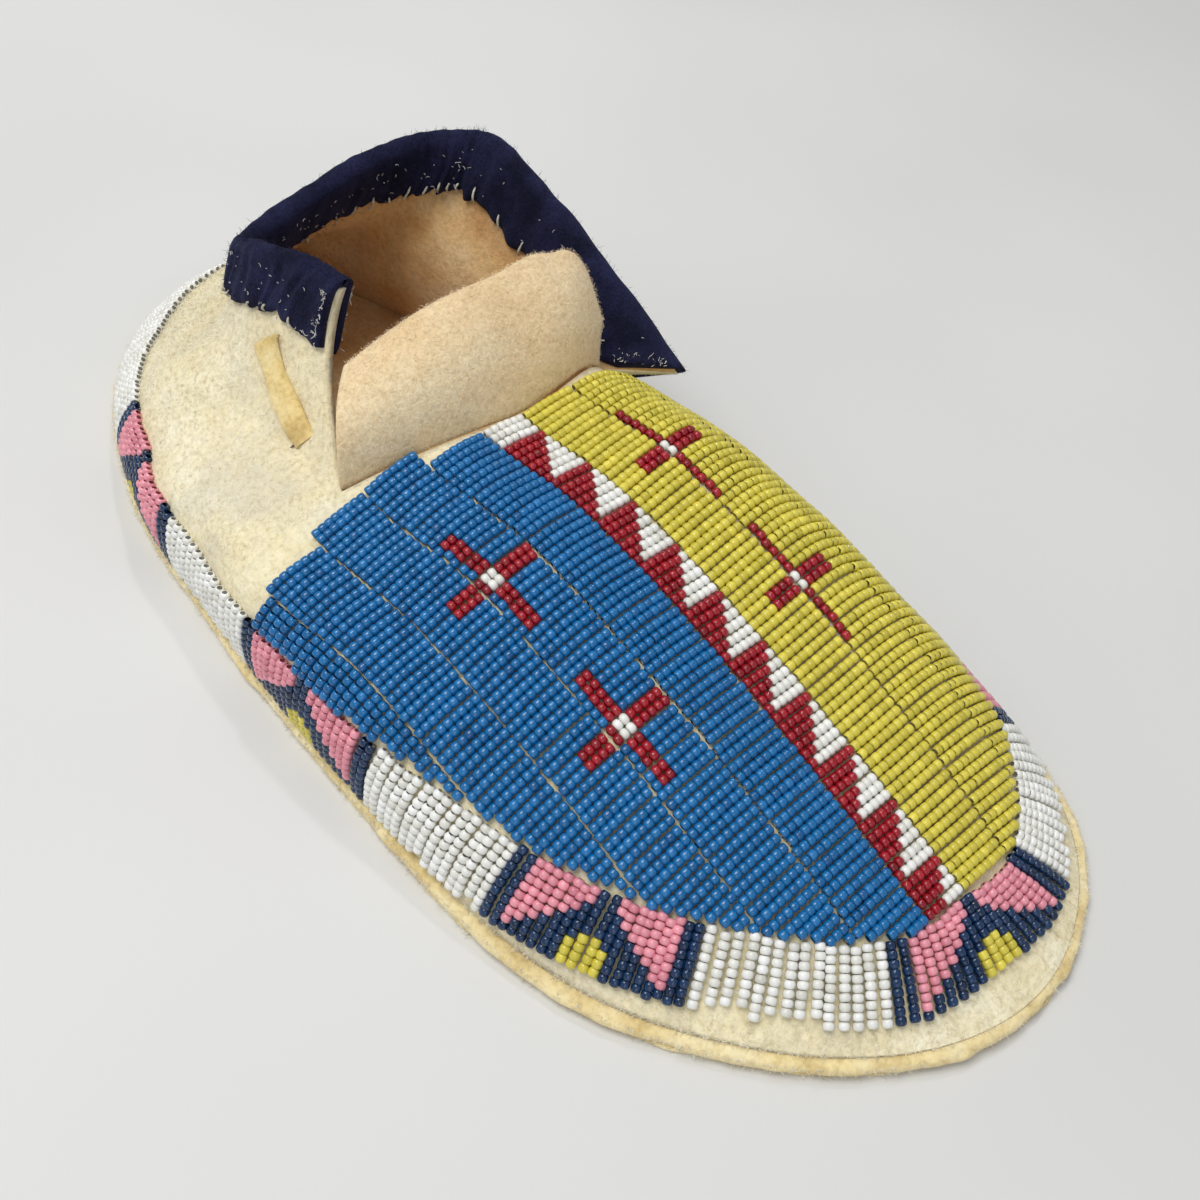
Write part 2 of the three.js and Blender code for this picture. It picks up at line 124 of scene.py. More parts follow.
def fuller(a, side, swell, bulge):
    return np.where(side > 0, swell * 6.75 * a * a * (1 - a), bulge * 23.1 * a**8 * (1 - a))


def pushed(a, side, bulge):
    return np.where(side > 0, 0.0, -bulge * 8.83 * a**6 * (1 - a))


def vamp(x, share):
    x, share = np.broadcast_arrays(np.asarray(x, float), np.asarray(share, float))
    side, a = np.where(share < 0, -1.0, 1.0), np.abs(share)
    ry, rz, pl, pm, swell, bulge = np.moveaxis(section_curve(x), -1, 0)
    ye = edge(t_of_x(x, UPPER_INSET), side, UPPER_INSET)[..., 1]
    z = EDGE_Z + (rz - EDGE_Z) * (1 - a ** np.where(side < 0, pl, pm)) + fuller(a, side, swell, bulge)
    return np.stack([x, ry + (ye - ry) * a + pushed(a, side, bulge), z], -1)


def vamp_in(x, share, rear):
    x, share = np.broadcast_arrays(np.asarray(x, float), np.asarray(share, float))
    xi = rear + (x - rear) * (TOE_X - TOE_WALL - rear) / (TOE_X - rear)
    side, a = np.where(share < 0, -1.0, 1.0), np.abs(share)
    ry, rz, pl, pm, swell, bulge = np.moveaxis(section_curve(x), -1, 0)
    near = np.clip((x - rear) / (TOE_X - rear), 0, 1)
    half = np.abs(edge(t_of_x(x, UPPER_INSET), side, UPPER_INSET)[..., 1] - ry)
    p, h = np.where(side < 0, pl, pm), rz - EDGE_Z
    slope = (p * h + np.where(side > 0, swell * 6.75, bulge * 23.1)) / np.maximum(half, 1)
    foot = np.minimum(np.minimum(WALL * np.hypot(1, 1 / np.maximum(slope, 0.3)), 5), half * 0.4)
    drop = np.minimum(WALL * 1.03 + 0.5 * near * near, 0.75 * h)
    z = EDGE_Z + (h - drop) * (1 - a**p) + fuller(a, side, swell, bulge) * (1 - drop / (h + 1))
    return np.stack([xi, ry + side * (half - foot) * a + pushed(a, side, bulge), z], -1)


def height(x, y):
    """Height of the vamp over a point of the plan."""
    c = section_curve(x)
    ry, bulge = c[..., 0], c[..., 5]
    side = np.where(y < ry, -1.0, 1.0)
    ye = edge(t_of_x(x, UPPER_INSET), side, UPPER_INSET)[..., 1]
    run = np.where(np.abs(ye - ry) < 0.2, 0.2 * side, ye - ry)
    a = np.clip((y - ry) / run, 0, 1)
    for _ in range(3):
        a = np.clip((y - ry - pushed(a, side, bulge)) / run, 0, 1)
    return vamp(x, side * a)[..., 2]


def quarter(q, v):
    q, v = np.broadcast_arrays(np.asarray(q, float), np.asarray(v, float))
    side, t = np.where(q < 0, -1.0, 1.0), np.abs(q)
    x, y = np.moveaxis(edge(t, side, UPPER_INSET), -1, 0)
    c = quarter_curve(q)
    top, base, lean = c[..., :3], np.radians(c[..., 3:4]), np.radians(c[..., 4:5])
    foot = np.stack([x, y, np.full_like(x, EDGE_Z)], -1)
    e = unit(np.stack([np.maximum(HEEL_CENTRE[0], x) - x, HEEL_CENTRE[1] - y], -1))
    reach = 0.38 * np.linalg.norm(top - foot, axis=-1, keepdims=True)
    c1 = foot + reach * np.concatenate([e * np.cos(base), np.sin(base)], -1)
    c2 = top - reach * np.concatenate([e * np.cos(lean), np.sin(lean)], -1)
    w = v[..., None]
    u = 1 - w
    wall = u**3 * foot + 3 * u * u * w * c1 + 3 * u * w * w * c2 + w**3 * top
    corner = np.where(side < 0, THROAT_LAT, THROAT_MED)
    low = vamp(x, side * (1 - (1 - np.abs(corner)) * np.minimum(v, KNEE) / KNEE))
    k = np.clip((w - KNEE) / (1 - KNEE), 0, 1)
    bow = np.where(side[..., None] < 0, BOW_LAT, 0 * BOW_LAT)
    front = low + (top - low) * k + bow * 4 * np.maximum(w - KNEE, 0) * (1 - w) / (1 - KNEE) ** 2
    return front + (wall - front) * smooth((T_FRONT - t) / BLEND)[..., None]


def quarter_normal(q, v, dq=0.004, dv=0.02):
    q, v = np.broadcast_arrays(np.asarray(q, float), np.asarray(v, float))
    a, b = quarter(np.clip(q - dq, -T_FRONT, T_FRONT), v), quarter(np.clip(q + dq, -T_FRONT, T_FRONT), v)
    c, d = quarter(q, np.clip(v - dv, 0, 1)), quarter(q, np.clip(v + dv, 0, 1))
    return unit(np.cross(d - c, b - a))


def vamp_normal(x, share):
    dx, ds = 0.4, 0.004
    a, b = vamp(np.minimum(x + dx, 259.9), share), vamp(np.maximum(x - dx, 61), share)
    c, d = vamp(x, np.clip(share + ds, -1, 1)), vamp(x, np.clip(share - ds, -1, 1))
    return unit(np.cross(a - b, c - d))


def rear_x(share):
    share = np.asarray(share, float)
    inside = throat_curve(np.clip(share, THROAT_LAT, THROAT_MED))[..., 0]
    return np.where((share <= THROAT_LAT) | (share >= THROAT_MED), THROAT_X, inside)


def throat(a):
    s = THROAT_LAT + (THROAT_MED - THROAT_LAT) * np.asarray(a, float)
    return vamp(rear_x(s), s)


def below(q, down):
    """Share of the wall's height that lies `down` millimetres under the top edge, for each station."""
    vs = np.linspace(1, 0.3, 71)
    p = quarter(np.asarray(q)[:, None], vs[None, :])
    s = np.concatenate([np.zeros((len(p), 1)), np.cumsum(np.linalg.norm(np.diff(p, axis=1), axis=-1), 1)], 1)
    return np.array([np.interp(d, row, vs) for d, row in zip(np.broadcast_to(down, (len(p),)), s)])


# ---------------------------------------------------------------- creases and lumps of the worn hide
def path(q0, v0, q1, v1, n=24):
    k = np.linspace(0, 1, n)
    return quarter(q0 + (q1 - q0) * k, v0 + (v1 - v0) * k)


CREASES = [  # station and height where it starts, where it ends, half width mm, depth mm (minus is a ridge)
    (-0.43, 0.52, -0.30, 0.30, 8.0, 1.5), (-0.36, 0.42, -0.22, 0.42, 7.0, -0.9), (-0.30, 0.62, -0.14, 0.50, 7.0, 1.6),
    (-0.20, 0.70, -0.02, 0.62, 6.0, 1.2), (-0.10, 0.42, 0.06, 0.40, 9.0, -1.2), (-0.05, 0.72, 0.10, 0.68, 6.0, 1.5),
    (0.12, 0.48, 0.26, 0.40, 8.0, 1.3), (0.30, 0.55, 0.40, 0.36, 7.0, 1.4), (0.20, 0.70, 0.34, 0.66, 6.0, -0.8),
    (-0.41, 0.80, -0.36, 0.60, 5.0, -0.7), (-0.12, 0.25, -0.04, 0.55, 7.0, 1.0)]
CREASE_PATHS = [(path(*c[:4]), c[4], c[5]) for c in CREASES]
WAVES = [(unit(rng.normal(size=3)) * 2 * np.pi / w, rng.uniform(0, 6.28), a)
         for w, a in ((60, .32), (47, .30), (38, .26), (29, .20), (23, .15), (18, .12), (14, .09), (11, .07))]


def relief(p):
    """Height of the creases and lumps at points of the upper, in millimetres along the normal."""
    p = np.asarray(p, float)
    flat = p.reshape(-1, 3)
    out = sum(a * np.sin(flat @ k + ph) for k, ph, a in WAVES)
    out *= 0.35 + 0.65 * smooth((122 - flat[:, 0]) / 14)       # the beaded vamp is stiffer
    for pts, w, depth in CREASE_PATHS:
        d2 = np.full(len(flat), 1e9)
        fade = np.zeros(len(flat))
        near = np.where(np.linalg.norm(flat - pts.mean(0), axis=1) < 3 * w + np.linalg.norm(pts[0] - pts[-1]))[0]
        if len(near) == 0:
            continue
        dd = ((flat[near, None, :] - pts[None]) ** 2).sum(-1)
        i = dd.argmin(1)
        d2[near], fade[near] = dd[np.arange(len(near)), i], np.sin(np.pi * (i + 0.5) / len(pts)) ** 0.7
        out -= 1.3 * depth * np.exp(-d2 / (w * w)) * fade
    return (out * smooth((flat[:, 2] - 5) / 12)).reshape(p.shape[:-1])


# ---------------------------------------------------------------- meshes and materials
def lin(r, g, b):
    return tuple((c / 12.92 if c <= 0.04045 else ((c + 0.055) / 1.055) ** 2.4) for c in (r / 255, g / 255, b / 255)) + (1.0,)


def make(name, verts, faces, mats, index=None, stands_for=(), attr=None, flat=False):
    """Mesh object from millimetre points and equal-sided faces, riding on the shoe."""
    me = bpy.data.meshes.new(name)
    faces = [np.asarray(f, np.int64) for f in (faces if isinstance(faces, list) else [faces]) if len(f)]
    me.vertices.add(len(verts))
    me.vertices.foreach_set("co", ((np.asarray(verts, float) + SHIFT) * 0.001).astype(np.float32).ravel())
    loops = np.concatenate([f.ravel() for f in faces]).astype(np.int32)
    sizes = np.concatenate([np.full(len(f), f.shape[1]) for f in faces])
    me.loops.add(len(loops))
    me.loops.foreach_set("vertex_index", loops)
    me.polygons.add(len(sizes))
    me.polygons.foreach_set("loop_start", np.concatenate([[0], np.cumsum(sizes)[:-1]]).astype(np.int32))
    for m in mats:
        me.materials.append(m)
    if index is not None:
        me.polygons.foreach_set("material_index", np.asarray(index, np.int32))
    me.update(calc_edges=True)
    me.validate()
    me.polygons.foreach_set("use_smooth", np.full(len(me.polygons), not flat))
    if attr is not None:
        a = me.color_attributes.new("tint", "FLOAT_COLOR", "POINT")
        a.data.foreach_set("color", np.repeat(np.asarray(attr, np.float32)[:, None], 4, 1).ravel())
    ob = bpy.data.objects.new(name, me)
    bpy.context.scene.collection.objects.link(ob)
    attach(ob, "root")
    if stands_for:
        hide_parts(*stands_for)
    return ob


def grid_faces(idx, wrap=False):
    a, b, c, d = idx[:-1, :-1], idx[1:, :-1], idx[1:, 1:], idx[:-1, 1:]
    f = np.stack([a, b, c, d], -1).reshape(-1, 4)
    if wrap:
        f = np.vstack([f, np.stack([idx[:-1, -1], idx[1:, -1], idx[1:, 0], idx[:-1, 0]], -1)])
    return f


def thick(outer, inner, quads):
    """Closed sheet from its two faces; returns points, faces and how many of the faces are outer, inner, edge."""
    n = len(outer)
    e = np.concatenate([quads[:, [i, (i + 1) % 4]] for i in range(4)])
    e = e[e[:, 0] != e[:, 1]]
    key, rev = e[:, 0] * n + e[:, 1], e[:, 1] * n + e[:, 0]
    rim_e = e[~np.isin(key, rev)]
    sides = np.stack([rim_e[:, 1], rim_e[:, 0], rim_e[:, 0] + n, rim_e[:, 1] + n], -1)
    faces = np.vstack([quads, quads[:, ::-1] + n, sides])
    return np.vstack([outer, inner]), faces, (len(quads), len(quads), len(sides))


def tubes(paths, radius, sides=6, taper=None):
    """One mesh of many thin round threads; paths is (count, points, 3)."""
    paths = np.asarray(paths, float)
    n, m = paths.shape[:2]
    tan = unit(np.gradient(paths, axis=1))
    ref = np.where(np.abs(tan[..., 2:3]) > 0.9, np.array([1.0, 0, 0]), np.array([0, 0, 1.0]))
    a = unit(np.cross(tan, ref))
    b = np.cross(tan, a)
    th = np.arange(sides) * 2 * np.pi / sides
    r = np.broadcast_to(np.asarray(radius, float).reshape(-1, 1), (n, m)) * (np.ones(m) if taper is None else np.asarray(taper))
    v = paths[:, :, None] + r[..., None, None] * (np.cos(th)[:, None] * a[:, :, None] + np.sin(th)[:, None] * b[:, :, None])
    idx = np.arange(n * m * sides).reshape(n, m, sides)
    nxt = np.roll(idx, -1, 2)
    f = np.stack([idx[:, :-1], nxt[:, :-1], nxt[:, 1:], idx[:, 1:]], -1).reshape(-1, 4)
    return v.reshape(-1, 3), f


def material(name, rough, **fixed):
    m = bpy.data.materials.new(name)
    m.use_nodes = True
    bsdf = next(n for n in m.node_tree.nodes if n.type == "BSDF_PRINCIPLED")
    bsdf.inputs["Roughness"].default_value = rough
    for k, v in fixed.items():
        bsdf.inputs[k].default_value = v
    return m, m.node_tree, bsdf


def add_noise(nt, coord, scale, detail=3.0, rough=0.55, stretch=None):
    n = nt.nodes.new("ShaderNodeTexNoise")
    n.inputs["Scale"].default_value, n.inputs["Detail"].default_value, n.inputs["Roughness"].default_value = scale, detail, rough
    nt.links.new(coord, n.inputs["Vector"])
    return n.outputs["Fac"]


def ramp(nt, fac, stops):
    r = nt.nodes.new("ShaderNodeValToRGB")
    while len(r.color_ramp.elements) < len(stops):
        r.color_ramp.elements.new(0.5)
    for el, (pos, col) in zip(r.color_ramp.elements, stops):
        el.position, el.color = pos, col
    nt.links.new(fac, r.inputs["Fac"])
    return r.outputs["Color"]


def mix_color(nt, fac, a, b, mode="MIX"):
    m = nt.nodes.new("ShaderNodeMix")
    m.data_type, m.blend_type = "RGBA", mode
    for sock, val in ((m.inputs[0], fac), (m.inputs[6], a), (m.inputs[7], b)):
        if hasattr(val, "links"):
            nt.links.new(val, sock)
        else:
            sock.default_value = val
    return m.outputs[2]


def bump(nt, bsdf, layers):
    """Layers of (height socket, strength, distance in metres)."""
    last = None
    for fac, strength, dist in layers:
        b = nt.nodes.new("ShaderNodeBump")
        b.inputs["Strength"].default_value, b.inputs["Distance"].default_value = strength, dist
        nt.links.new(fac, b.inputs["Height"])
        if last is not None:
            nt.links.new(last, b.inputs["Normal"])
        last = b.outputs["Normal"]
    nt.links.new(last, bsdf.inputs["Normal"])


def hide(name, pale, mid, dark, patch=70.0, grain=900.0, strength=0.55, soil=None):
    """Suede: broad patches, mottling, and a short nap."""
    m, nt, bsdf = material(name, 0.93, **{"Sheen Weight": 0.25, "Sheen Roughness": 0.6, "Specular IOR Level": 0.2})
    co = nt.nodes.new("ShaderNodeTexCoord").outputs["Object"]
    base = ramp(nt, add_noise(nt, co, patch, 4.0, 0.6), [(0.30, dark), (0.47, mid), (0.66, pale)])
    mottle = ramp(nt, add_noise(nt, co, 420.0, 3.0, 0.6), [(0.30, (0.88, 0.86, 0.81, 1)), (0.60, (1, 1, 1, 1))])
    col = mix_color(nt, 0.75, base, mottle, "MULTIPLY")
    fleck = ramp(nt, add_noise(nt, co, grain, 2.0, 0.6), [(0.34, (0.80, 0.76, 0.68, 1)), (0.50, (1, 1, 1, 1)), (0.72, (1.10, 1.09, 1.07, 1))])
    col = mix_color(nt, 0.62, col, fleck, "MULTIPLY")
    if soil is not None:
        col = mix_color(nt, ramp(nt, add_noise(nt, co, 38.0, 5.0, 0.65), [(0.50, (0, 0, 0, 1)), (0.66, (0.55, 0.55, 0.55, 1))]), col, soil)
    nt.links.new(col, bsdf.inputs["Base Color"])
    bump(nt, bsdf, [(add_noise(nt, co, 260.0, 3.0, 0.6), 0.45, 0.0009), (add_noise(nt, co, grain, 3.0, 0.7), strength, 0.0007)])
    return m


M_UPPER = hide("suede_upper", lin(250, 243, 214), lin(244, 232, 192), lin(226, 217, 188), soil=lin(208, 202, 184))
M_INSIDE = hide("suede_inside", lin(238, 208, 160), lin(226, 184, 126), lin(204, 148, 84), patch=45.0)
M_TONGUE = hide("suede_tongue", lin(246, 228, 190), lin(240, 214, 170), lin(228, 198, 150), patch=40.0, grain=1100.0, strength=0.45)
M_SOLE = hide("rawhide_sole", lin(248, 234, 190), lin(242, 222, 166), lin(216, 190, 130), patch=120.0, grain=700.0, strength=0.4)
M_THONG = hide("thong", lin(242, 222, 166), lin(234, 208, 142), lin(206, 176, 110), patch=150.0, grain=1000.0, strength=0.4)


def wool():
    m, nt, bsdf = material("wool_navy", 0.95, **{"Sheen Weight": 0.5, "Sheen Roughness": 0.45, "Specular IOR Level": 0.15, "Sheen Tint": lin(70, 74, 110)})
    co = nt.nodes.new("ShaderNodeTexCoord").outputs["Object"]
    base = ramp(nt, add_noise(nt, co, 90.0, 3.0), [(0.35, lin(18, 20, 40)), (0.65, lin(36, 38, 68))])
    fibre = ramp(nt, add_noise(nt, co, 1700.0, 3.0, 0.7), [(0.35, (0.45, 0.45, 0.5, 1)), (0.62, (1.25, 1.25, 1.3, 1))])
    nt.links.new(mix_color(nt, 0.8, base, fibre, "MULTIPLY"), bsdf.inputs["Base Color"])
    bump(nt, bsdf, [(add_noise(nt, co, 420.0, 3.0), 0.4, 0.0008), (add_noise(nt, co, 1700.0, 3.0, 0.7), 0.6, 0.0006)])
    return m


def thread_material(name, light, dark):
    m, nt, bsdf = material(name, 0.9, **{"Sheen Weight": 0.2})
    co = nt.nodes.new("ShaderNodeTexCoord").outputs["Object"]
    nt.links.new(ramp(nt, add_noise(nt, co, 900.0), [(0.35, dark), (0.6, light)]), bsdf.inputs["Base Color"])
    bump(nt, bsdf, [(add_noise(nt, co, 2600.0), 0.3, 0.0002)])
    return m


def glass(name, colour, deep, rough, cloud):
    """Old seed bead glass: each bead its own shade, faintly cloudy, glossy."""
    m, nt, bsdf = material(name, rough, **{"IOR": 1.5, "Coat Weight": 0.25, "Coat Roughness": 0.08})
    tint = nt.nodes.new("ShaderNodeAttribute")
    tint.attribute_name = "tint"
    shade = ramp(nt, tint.outputs["Fac"], [(0.0, deep), (0.5, colour), (1.0, tuple(min(1.0, c * 1.25 + 0.01) for c in colour[:3]) + (1,))])
    co = nt.nodes.new("ShaderNodeTexCoord").outputs["Object"]
    spots = ramp(nt, add_noise(nt, co, 700.0, 2.0), [(0.3, (1 - cloud, 1 - cloud, 1 - cloud, 1)), (0.7, (1, 1, 1, 1))])
    nt.links.new(mix_color(nt, 1.0, shade, spots, "MULTIPLY"), bsdf.inputs["Base Color"])
    r = nt.nodes.new("ShaderNodeMapRange")
    r.inputs["To Min"].default_value, r.inputs["To Max"].default_value = rough * 0.8, rough * 1.5
    nt.links.new(add_noise(nt, co, 500.0, 2.0), r.inputs["Value"])
    nt.links.new(r.outputs["Result"], bsdf.inputs["Roughness"])
    return m


M_WOOL = wool()
M_THREAD = thread_material("thread_white", lin(226, 222, 208), lin(180, 172, 150))
M_LINT = thread_material("lint", lin(232, 230, 222), lin(200, 198, 190))
M_NAP = thread_material("hide_nap", lin(248, 242, 220), lin(222, 210, 176))
M_NAP_T = thread_material("tongue_nap", lin(250, 234, 202), lin(234, 208, 164))
# dark brown threads for the slits: painted shadow inside the slit openings where the thong goes in
M_SLIT_SHADOW = thread_material("slit_shadow", lin(92, 70, 44), lin(60, 44, 28))
BEAD_MATS = {
    "blue": glass("beads_blue", lin(14, 108, 170), lin(8, 84, 142), 0.13, 0.15),
    "yellow": glass("beads_yellow", lin(218, 204, 76), lin(192, 178, 54), 0.16, 0.12),
    "red": glass("beads_red", lin(164, 18, 36), lin(122, 8, 24), 0.14, 0.2),
    "white": glass("beads_white", lin(238, 238, 232), lin(214, 212, 202), 0.24, 0.06),
    "pink": glass("beads_pink", lin(230, 150, 164), lin(210, 126, 142), 0.22, 0.08),
    "navy": glass("beads_navy", lin(12, 48, 88), lin(4, 26, 54), 0.12, 0.2)}

# ---------------------------------------------------------------- upper: vamp and quarters in one hide
K, NV, NS, NR, MID = 22, 44, 210, 96, (26, 36)
shares = np.concatenate([-1 + (1 + THROAT_LAT) * np.arange(K) / K, THROAT_LAT * (1 - np.arange(MID[0]) / MID[0]),
                         THROAT_MED * np.arange(MID[1]) / MID[1], THROAT_MED + (1 - THROAT_MED) * np.arange(K + 1) / K])
NC = len(shares) - 1
rear = rear_x(shares)
t0 = t_of_x(rear, UPPER_INSET)
tt = t0[None, :] + (1 - t0[None, :]) * np.arange(NR)[:, None] / NR
xx = edge(tt, 1, UPPER_INSET)[..., 0]
sh = np.broadcast_to(shares, xx.shape)
vo, vi = vamp(xx, sh), vamp_in(xx, sh, np.broadcast_to(rear, xx.shape))
vn = vamp_normal(xx, sh)
rl = relief(vo)[..., None]
vo, vi = vo + vn * rl, vi + vn * rl
n_vamp = NR * NC + NR
outer = [vo.reshape(-1, 3), np.array([[TOE_X, TOE_Y, EDGE_Z]])]
inner = [vi.reshape(-1, 3), np.array([[TOE_X - TOE_WALL, TOE_Y - 0.4, EDGE_Z]])]
at = np.arange(NR * (NC + 1)).reshape(NR, NC + 1)
tip = NR * (NC + 1)
qs = -T_FRONT + 2 * T_FRONT * np.arange(NS + 1) / NS
vv = np.arange(NV + 1) / NV
Q, V = np.meshgrid(qs, vv, indexing="ij")
wo, wn = quarter(Q, V), quarter_normal(Q, V)
rl = relief(wo)[..., None]
wo = wo + wn * rl
flat_n = unit(wn[..., :2])
steep = np.maximum(0.5, np.hypot(wn[..., 0], wn[..., 1]))[..., None]
wi = wo - wn * WALL
wi[:, 0, :2], wi[:, 0, 2] = (wo[..., :2] - flat_n * WALL / steep)[:, 0], EDGE_Z
wall = tip + 1 + np.arange((NS + 1) * (NV + 1)).reshape(NS + 1, NV + 1)
wall[0, :K + 1], wall[NS, :K + 1] = at[0, :K + 1], at[0, NC - np.arange(K + 1)]
outer.append(wo.reshape(-1, 3))
inner.append(wi.reshape(-1, 3))
quads = np.vstack([np.stack([at[:-1, :-1], at[1:, :-1], at[1:, 1:], at[:-1, 1:]], -1).reshape(-1, 4),
                   np.stack([wall[:-1, :-1], wall[:-1, 1:], wall[1:, 1:], wall[1:, :-1]], -1).reshape(-1, 4)])
toe = np.stack([at[-1, :-1], np.full(NC, tip), at[-1, 1:]], -1)
outer, inner = np.vstack(outer), np.vstack(inner)
# edges of the sheet are found on quads and toe triangles together
e_all = np.concatenate([quads[:, [i, (i + 1) % 4]] for i in range(4)] + [toe[:, [i, (i + 1) % 3]] for i in range(3)])
n_o = len(outer)
rim_e = e_all[~np.isin(e_all[:, 0] * n_o + e_all[:, 1], e_all[:, 1] * n_o + e_all[:, 0])]
sides = np.stack([rim_e[:, 1], rim_e[:, 0], rim_e[:, 0] + n_o, rim_e[:, 1] + n_o], -1)
quad_all = np.vstack([quads, quads[:, ::-1] + n_o, sides])
tri_all = np.vstack([toe, toe[:, ::-1] + n_o])
idx = np.concatenate([np.zeros(len(quads)), np.ones(len(quads)), np.full(len(sides), 0), np.zeros(len(toe)), np.ones(len(toe))])
make("moccasin_upper", np.vstack([outer, inner]), [quad_all, tri_all], [M_UPPER, M_INSIDE], idx, ["upper"])

# ---------------------------------------------------------------- sole: two layers of rawhide with a soft, uneven edge
N = 260
tl = np.arange(N + 1) / N
tl = 0.5 - 0.5 * np.cos(np.pi * tl) if False else tl
loop_t = np.concatenate([tl[:-1], tl[:0:-1]])
loop_side = np.concatenate([np.full(N, -1.0), np.full(N, 1.0)])
ang = np.arange(2 * N) / (2 * N) * 2 * np.pi
wave = sum(a * np.sin(f * ang + ph) for f, a, ph in ((9, .22, 1.0), (17, .20, 2.2), (31, .16, .4), (53, .12, 5.1), (88, .10, 3.3)))
thick_wave = sum(a * np.sin(f * ang + ph) for f, a, ph in ((7, .14, .3), (19, .10, 1.9), (41, .08, 4.0)))


def sole_layer(name, profile, mats, stands_for=()):
    rings = []
    for inset, z, k_wave, k_thick in profile:
        e = edge(loop_t, loop_side, inset)
        c = np.array([131.0, -2.0])
        out = unit(e - c)
        rings.append(np.c_[e + out * (wave * k_wave)[:, None], np.full(2 * N, z) + thick_wave * k_thick])
    v = np.vstack(rings)
    idx2 = np.arange(len(v)).reshape(len(rings), 2 * N)
    faces = [grid_faces(idx2, True)[:, ::-1]]
    caps = []
    for r, flip in ((0, True), (len(rings) - 1, False)):
        lo = np.arange(N + 1)
        lat, med = idx2[r][lo % (2 * N)], idx2[r][(2 * N - lo) % (2 * N)]
        cap = np.stack([lat[:-1], lat[1:], med[1:], med[:-1]], -1)[1:-1]
        ends = np.array([[lat[0], lat[1], med[1]], [lat[-2], lat[-1], med[-2]]])
        caps.append((cap[:, ::-1] if flip else cap, ends[:, ::-1] if flip else ends))
    faces += [caps[0][0], caps[1][0], np.vstack([caps[0][1], caps[1][1]])]
    n_side, n_low, n_top = len(faces[0]), len(caps[0][0]), len(caps[1][0])
    mi = np.concatenate([np.zeros(n_side + n_low), np.full(n_top, len(mats) - 1), np.zeros(2), np.full(2, len(mats) - 1)])
    return make(name, v, faces, mats, mi, stands_for)


sole_layer("sole_rawhide", [(3.0, 0.95, 0, 0), (1.3, 0.9, .6, 0), (0.35, 1.15, 1, .3), (0.0, 1.7, 1, .5), (0.05, 2.3, 1, .8), (0.45, 2.85, 1, .8), (1.3, 3.15, .6, .5), (4.0, 3.2, 0, 0)],
           [M_SOLE, M_INSIDE], ["sole"])
sole_layer("sole_lower_layer", [(3.2, 0.0, 0, 0), (1.5, 0.0, -.8, 0), (0.75, 0.15, -1.1, 0), (0.55, 0.45, -1.1, .2), (0.8, 0.75, -.9, .2), (3.0, 0.8, 0, 0)], [M_SOLE])

# ---------------------------------------------------------------- tongue: stands from its seam, then rolls back over the opening
NA, NB, ROLL = 96, 30, 12
aa = np.linspace(-0.022, 1, NA + 1)


def tongue(a, b):
    base = throat(0.025 + 0.935 * a) + np.array([-(GAP + 0.4), 0, -0.2])
    top, belly = tongue_curve(a), base + TONGUE_BELLY
    u, b = 1 - b[..., None], b[..., None]
    return u * u * base + 2 * u * b * belly + b * b * top


A, B = np.meshgrid(aa, np.linspace(0, 0.90, NB + 1), indexing="ij")
tp = tongue(A, B)
end_dir = unit(tp[:, -1] - tp[:, -2])
across = unit(np.gradient(tp[:, -1], axis=0))
back = unit(np.cross(across, end_dir))
back = -back if back[NA // 2, 2] > 0 else back
rollr = (2.7 + 0.4 * np.sin(6 * aa + 0.6))[:, None]
fade = smooth((aa + 0.035) / 0.12)[:, None] * smooth((1 - aa) / 0.16)[:, None]
roll = []
for j in range(1, ROLL + 1):
    th = j / ROLL * 2.5
    roll.append(tp[:, -1] + (0.25 + 0.75 * fade) * rollr * (np.sin(th) * end_dir + (1 - np.cos(th)) * back))
tp = np.concatenate([tp, np.stack(roll, 1)], 1)
nA, nB = tp.shape[:2]
tn = unit(np.cross(np.gradient(tp, axis=0), np.gradient(tp, axis=1)))
tn = -tn if (tn[..., 0] * 0.6 + tn[..., 2])[:, :NB // 2].mean() < 0 else tn
soft = (0.5 * np.sin(A[:, :1] * 8.0 + 1.0) + 0.3 * np.sin(A[:, :1] * 17 + 2.0)) * np.sin(np.pi * np.minimum(np.arange(nB) / NB, 1))[None, :]
tp = tp + tn * soft[..., None]
taper = np.where(np.arange(nB) >= nB - 3, 0.8, 1.0)[None, :, None]
tin = tp - tn * TONGUE_T * taper
idx = np.arange(nA * nB).reshape(nA, nB)
v, f, counts = thick(tp.reshape(-1, 3), tin.reshape(-1, 3), grid_faces(idx))
make("tongue_flap", v, f, [M_TONGUE], None, ["tongue"])

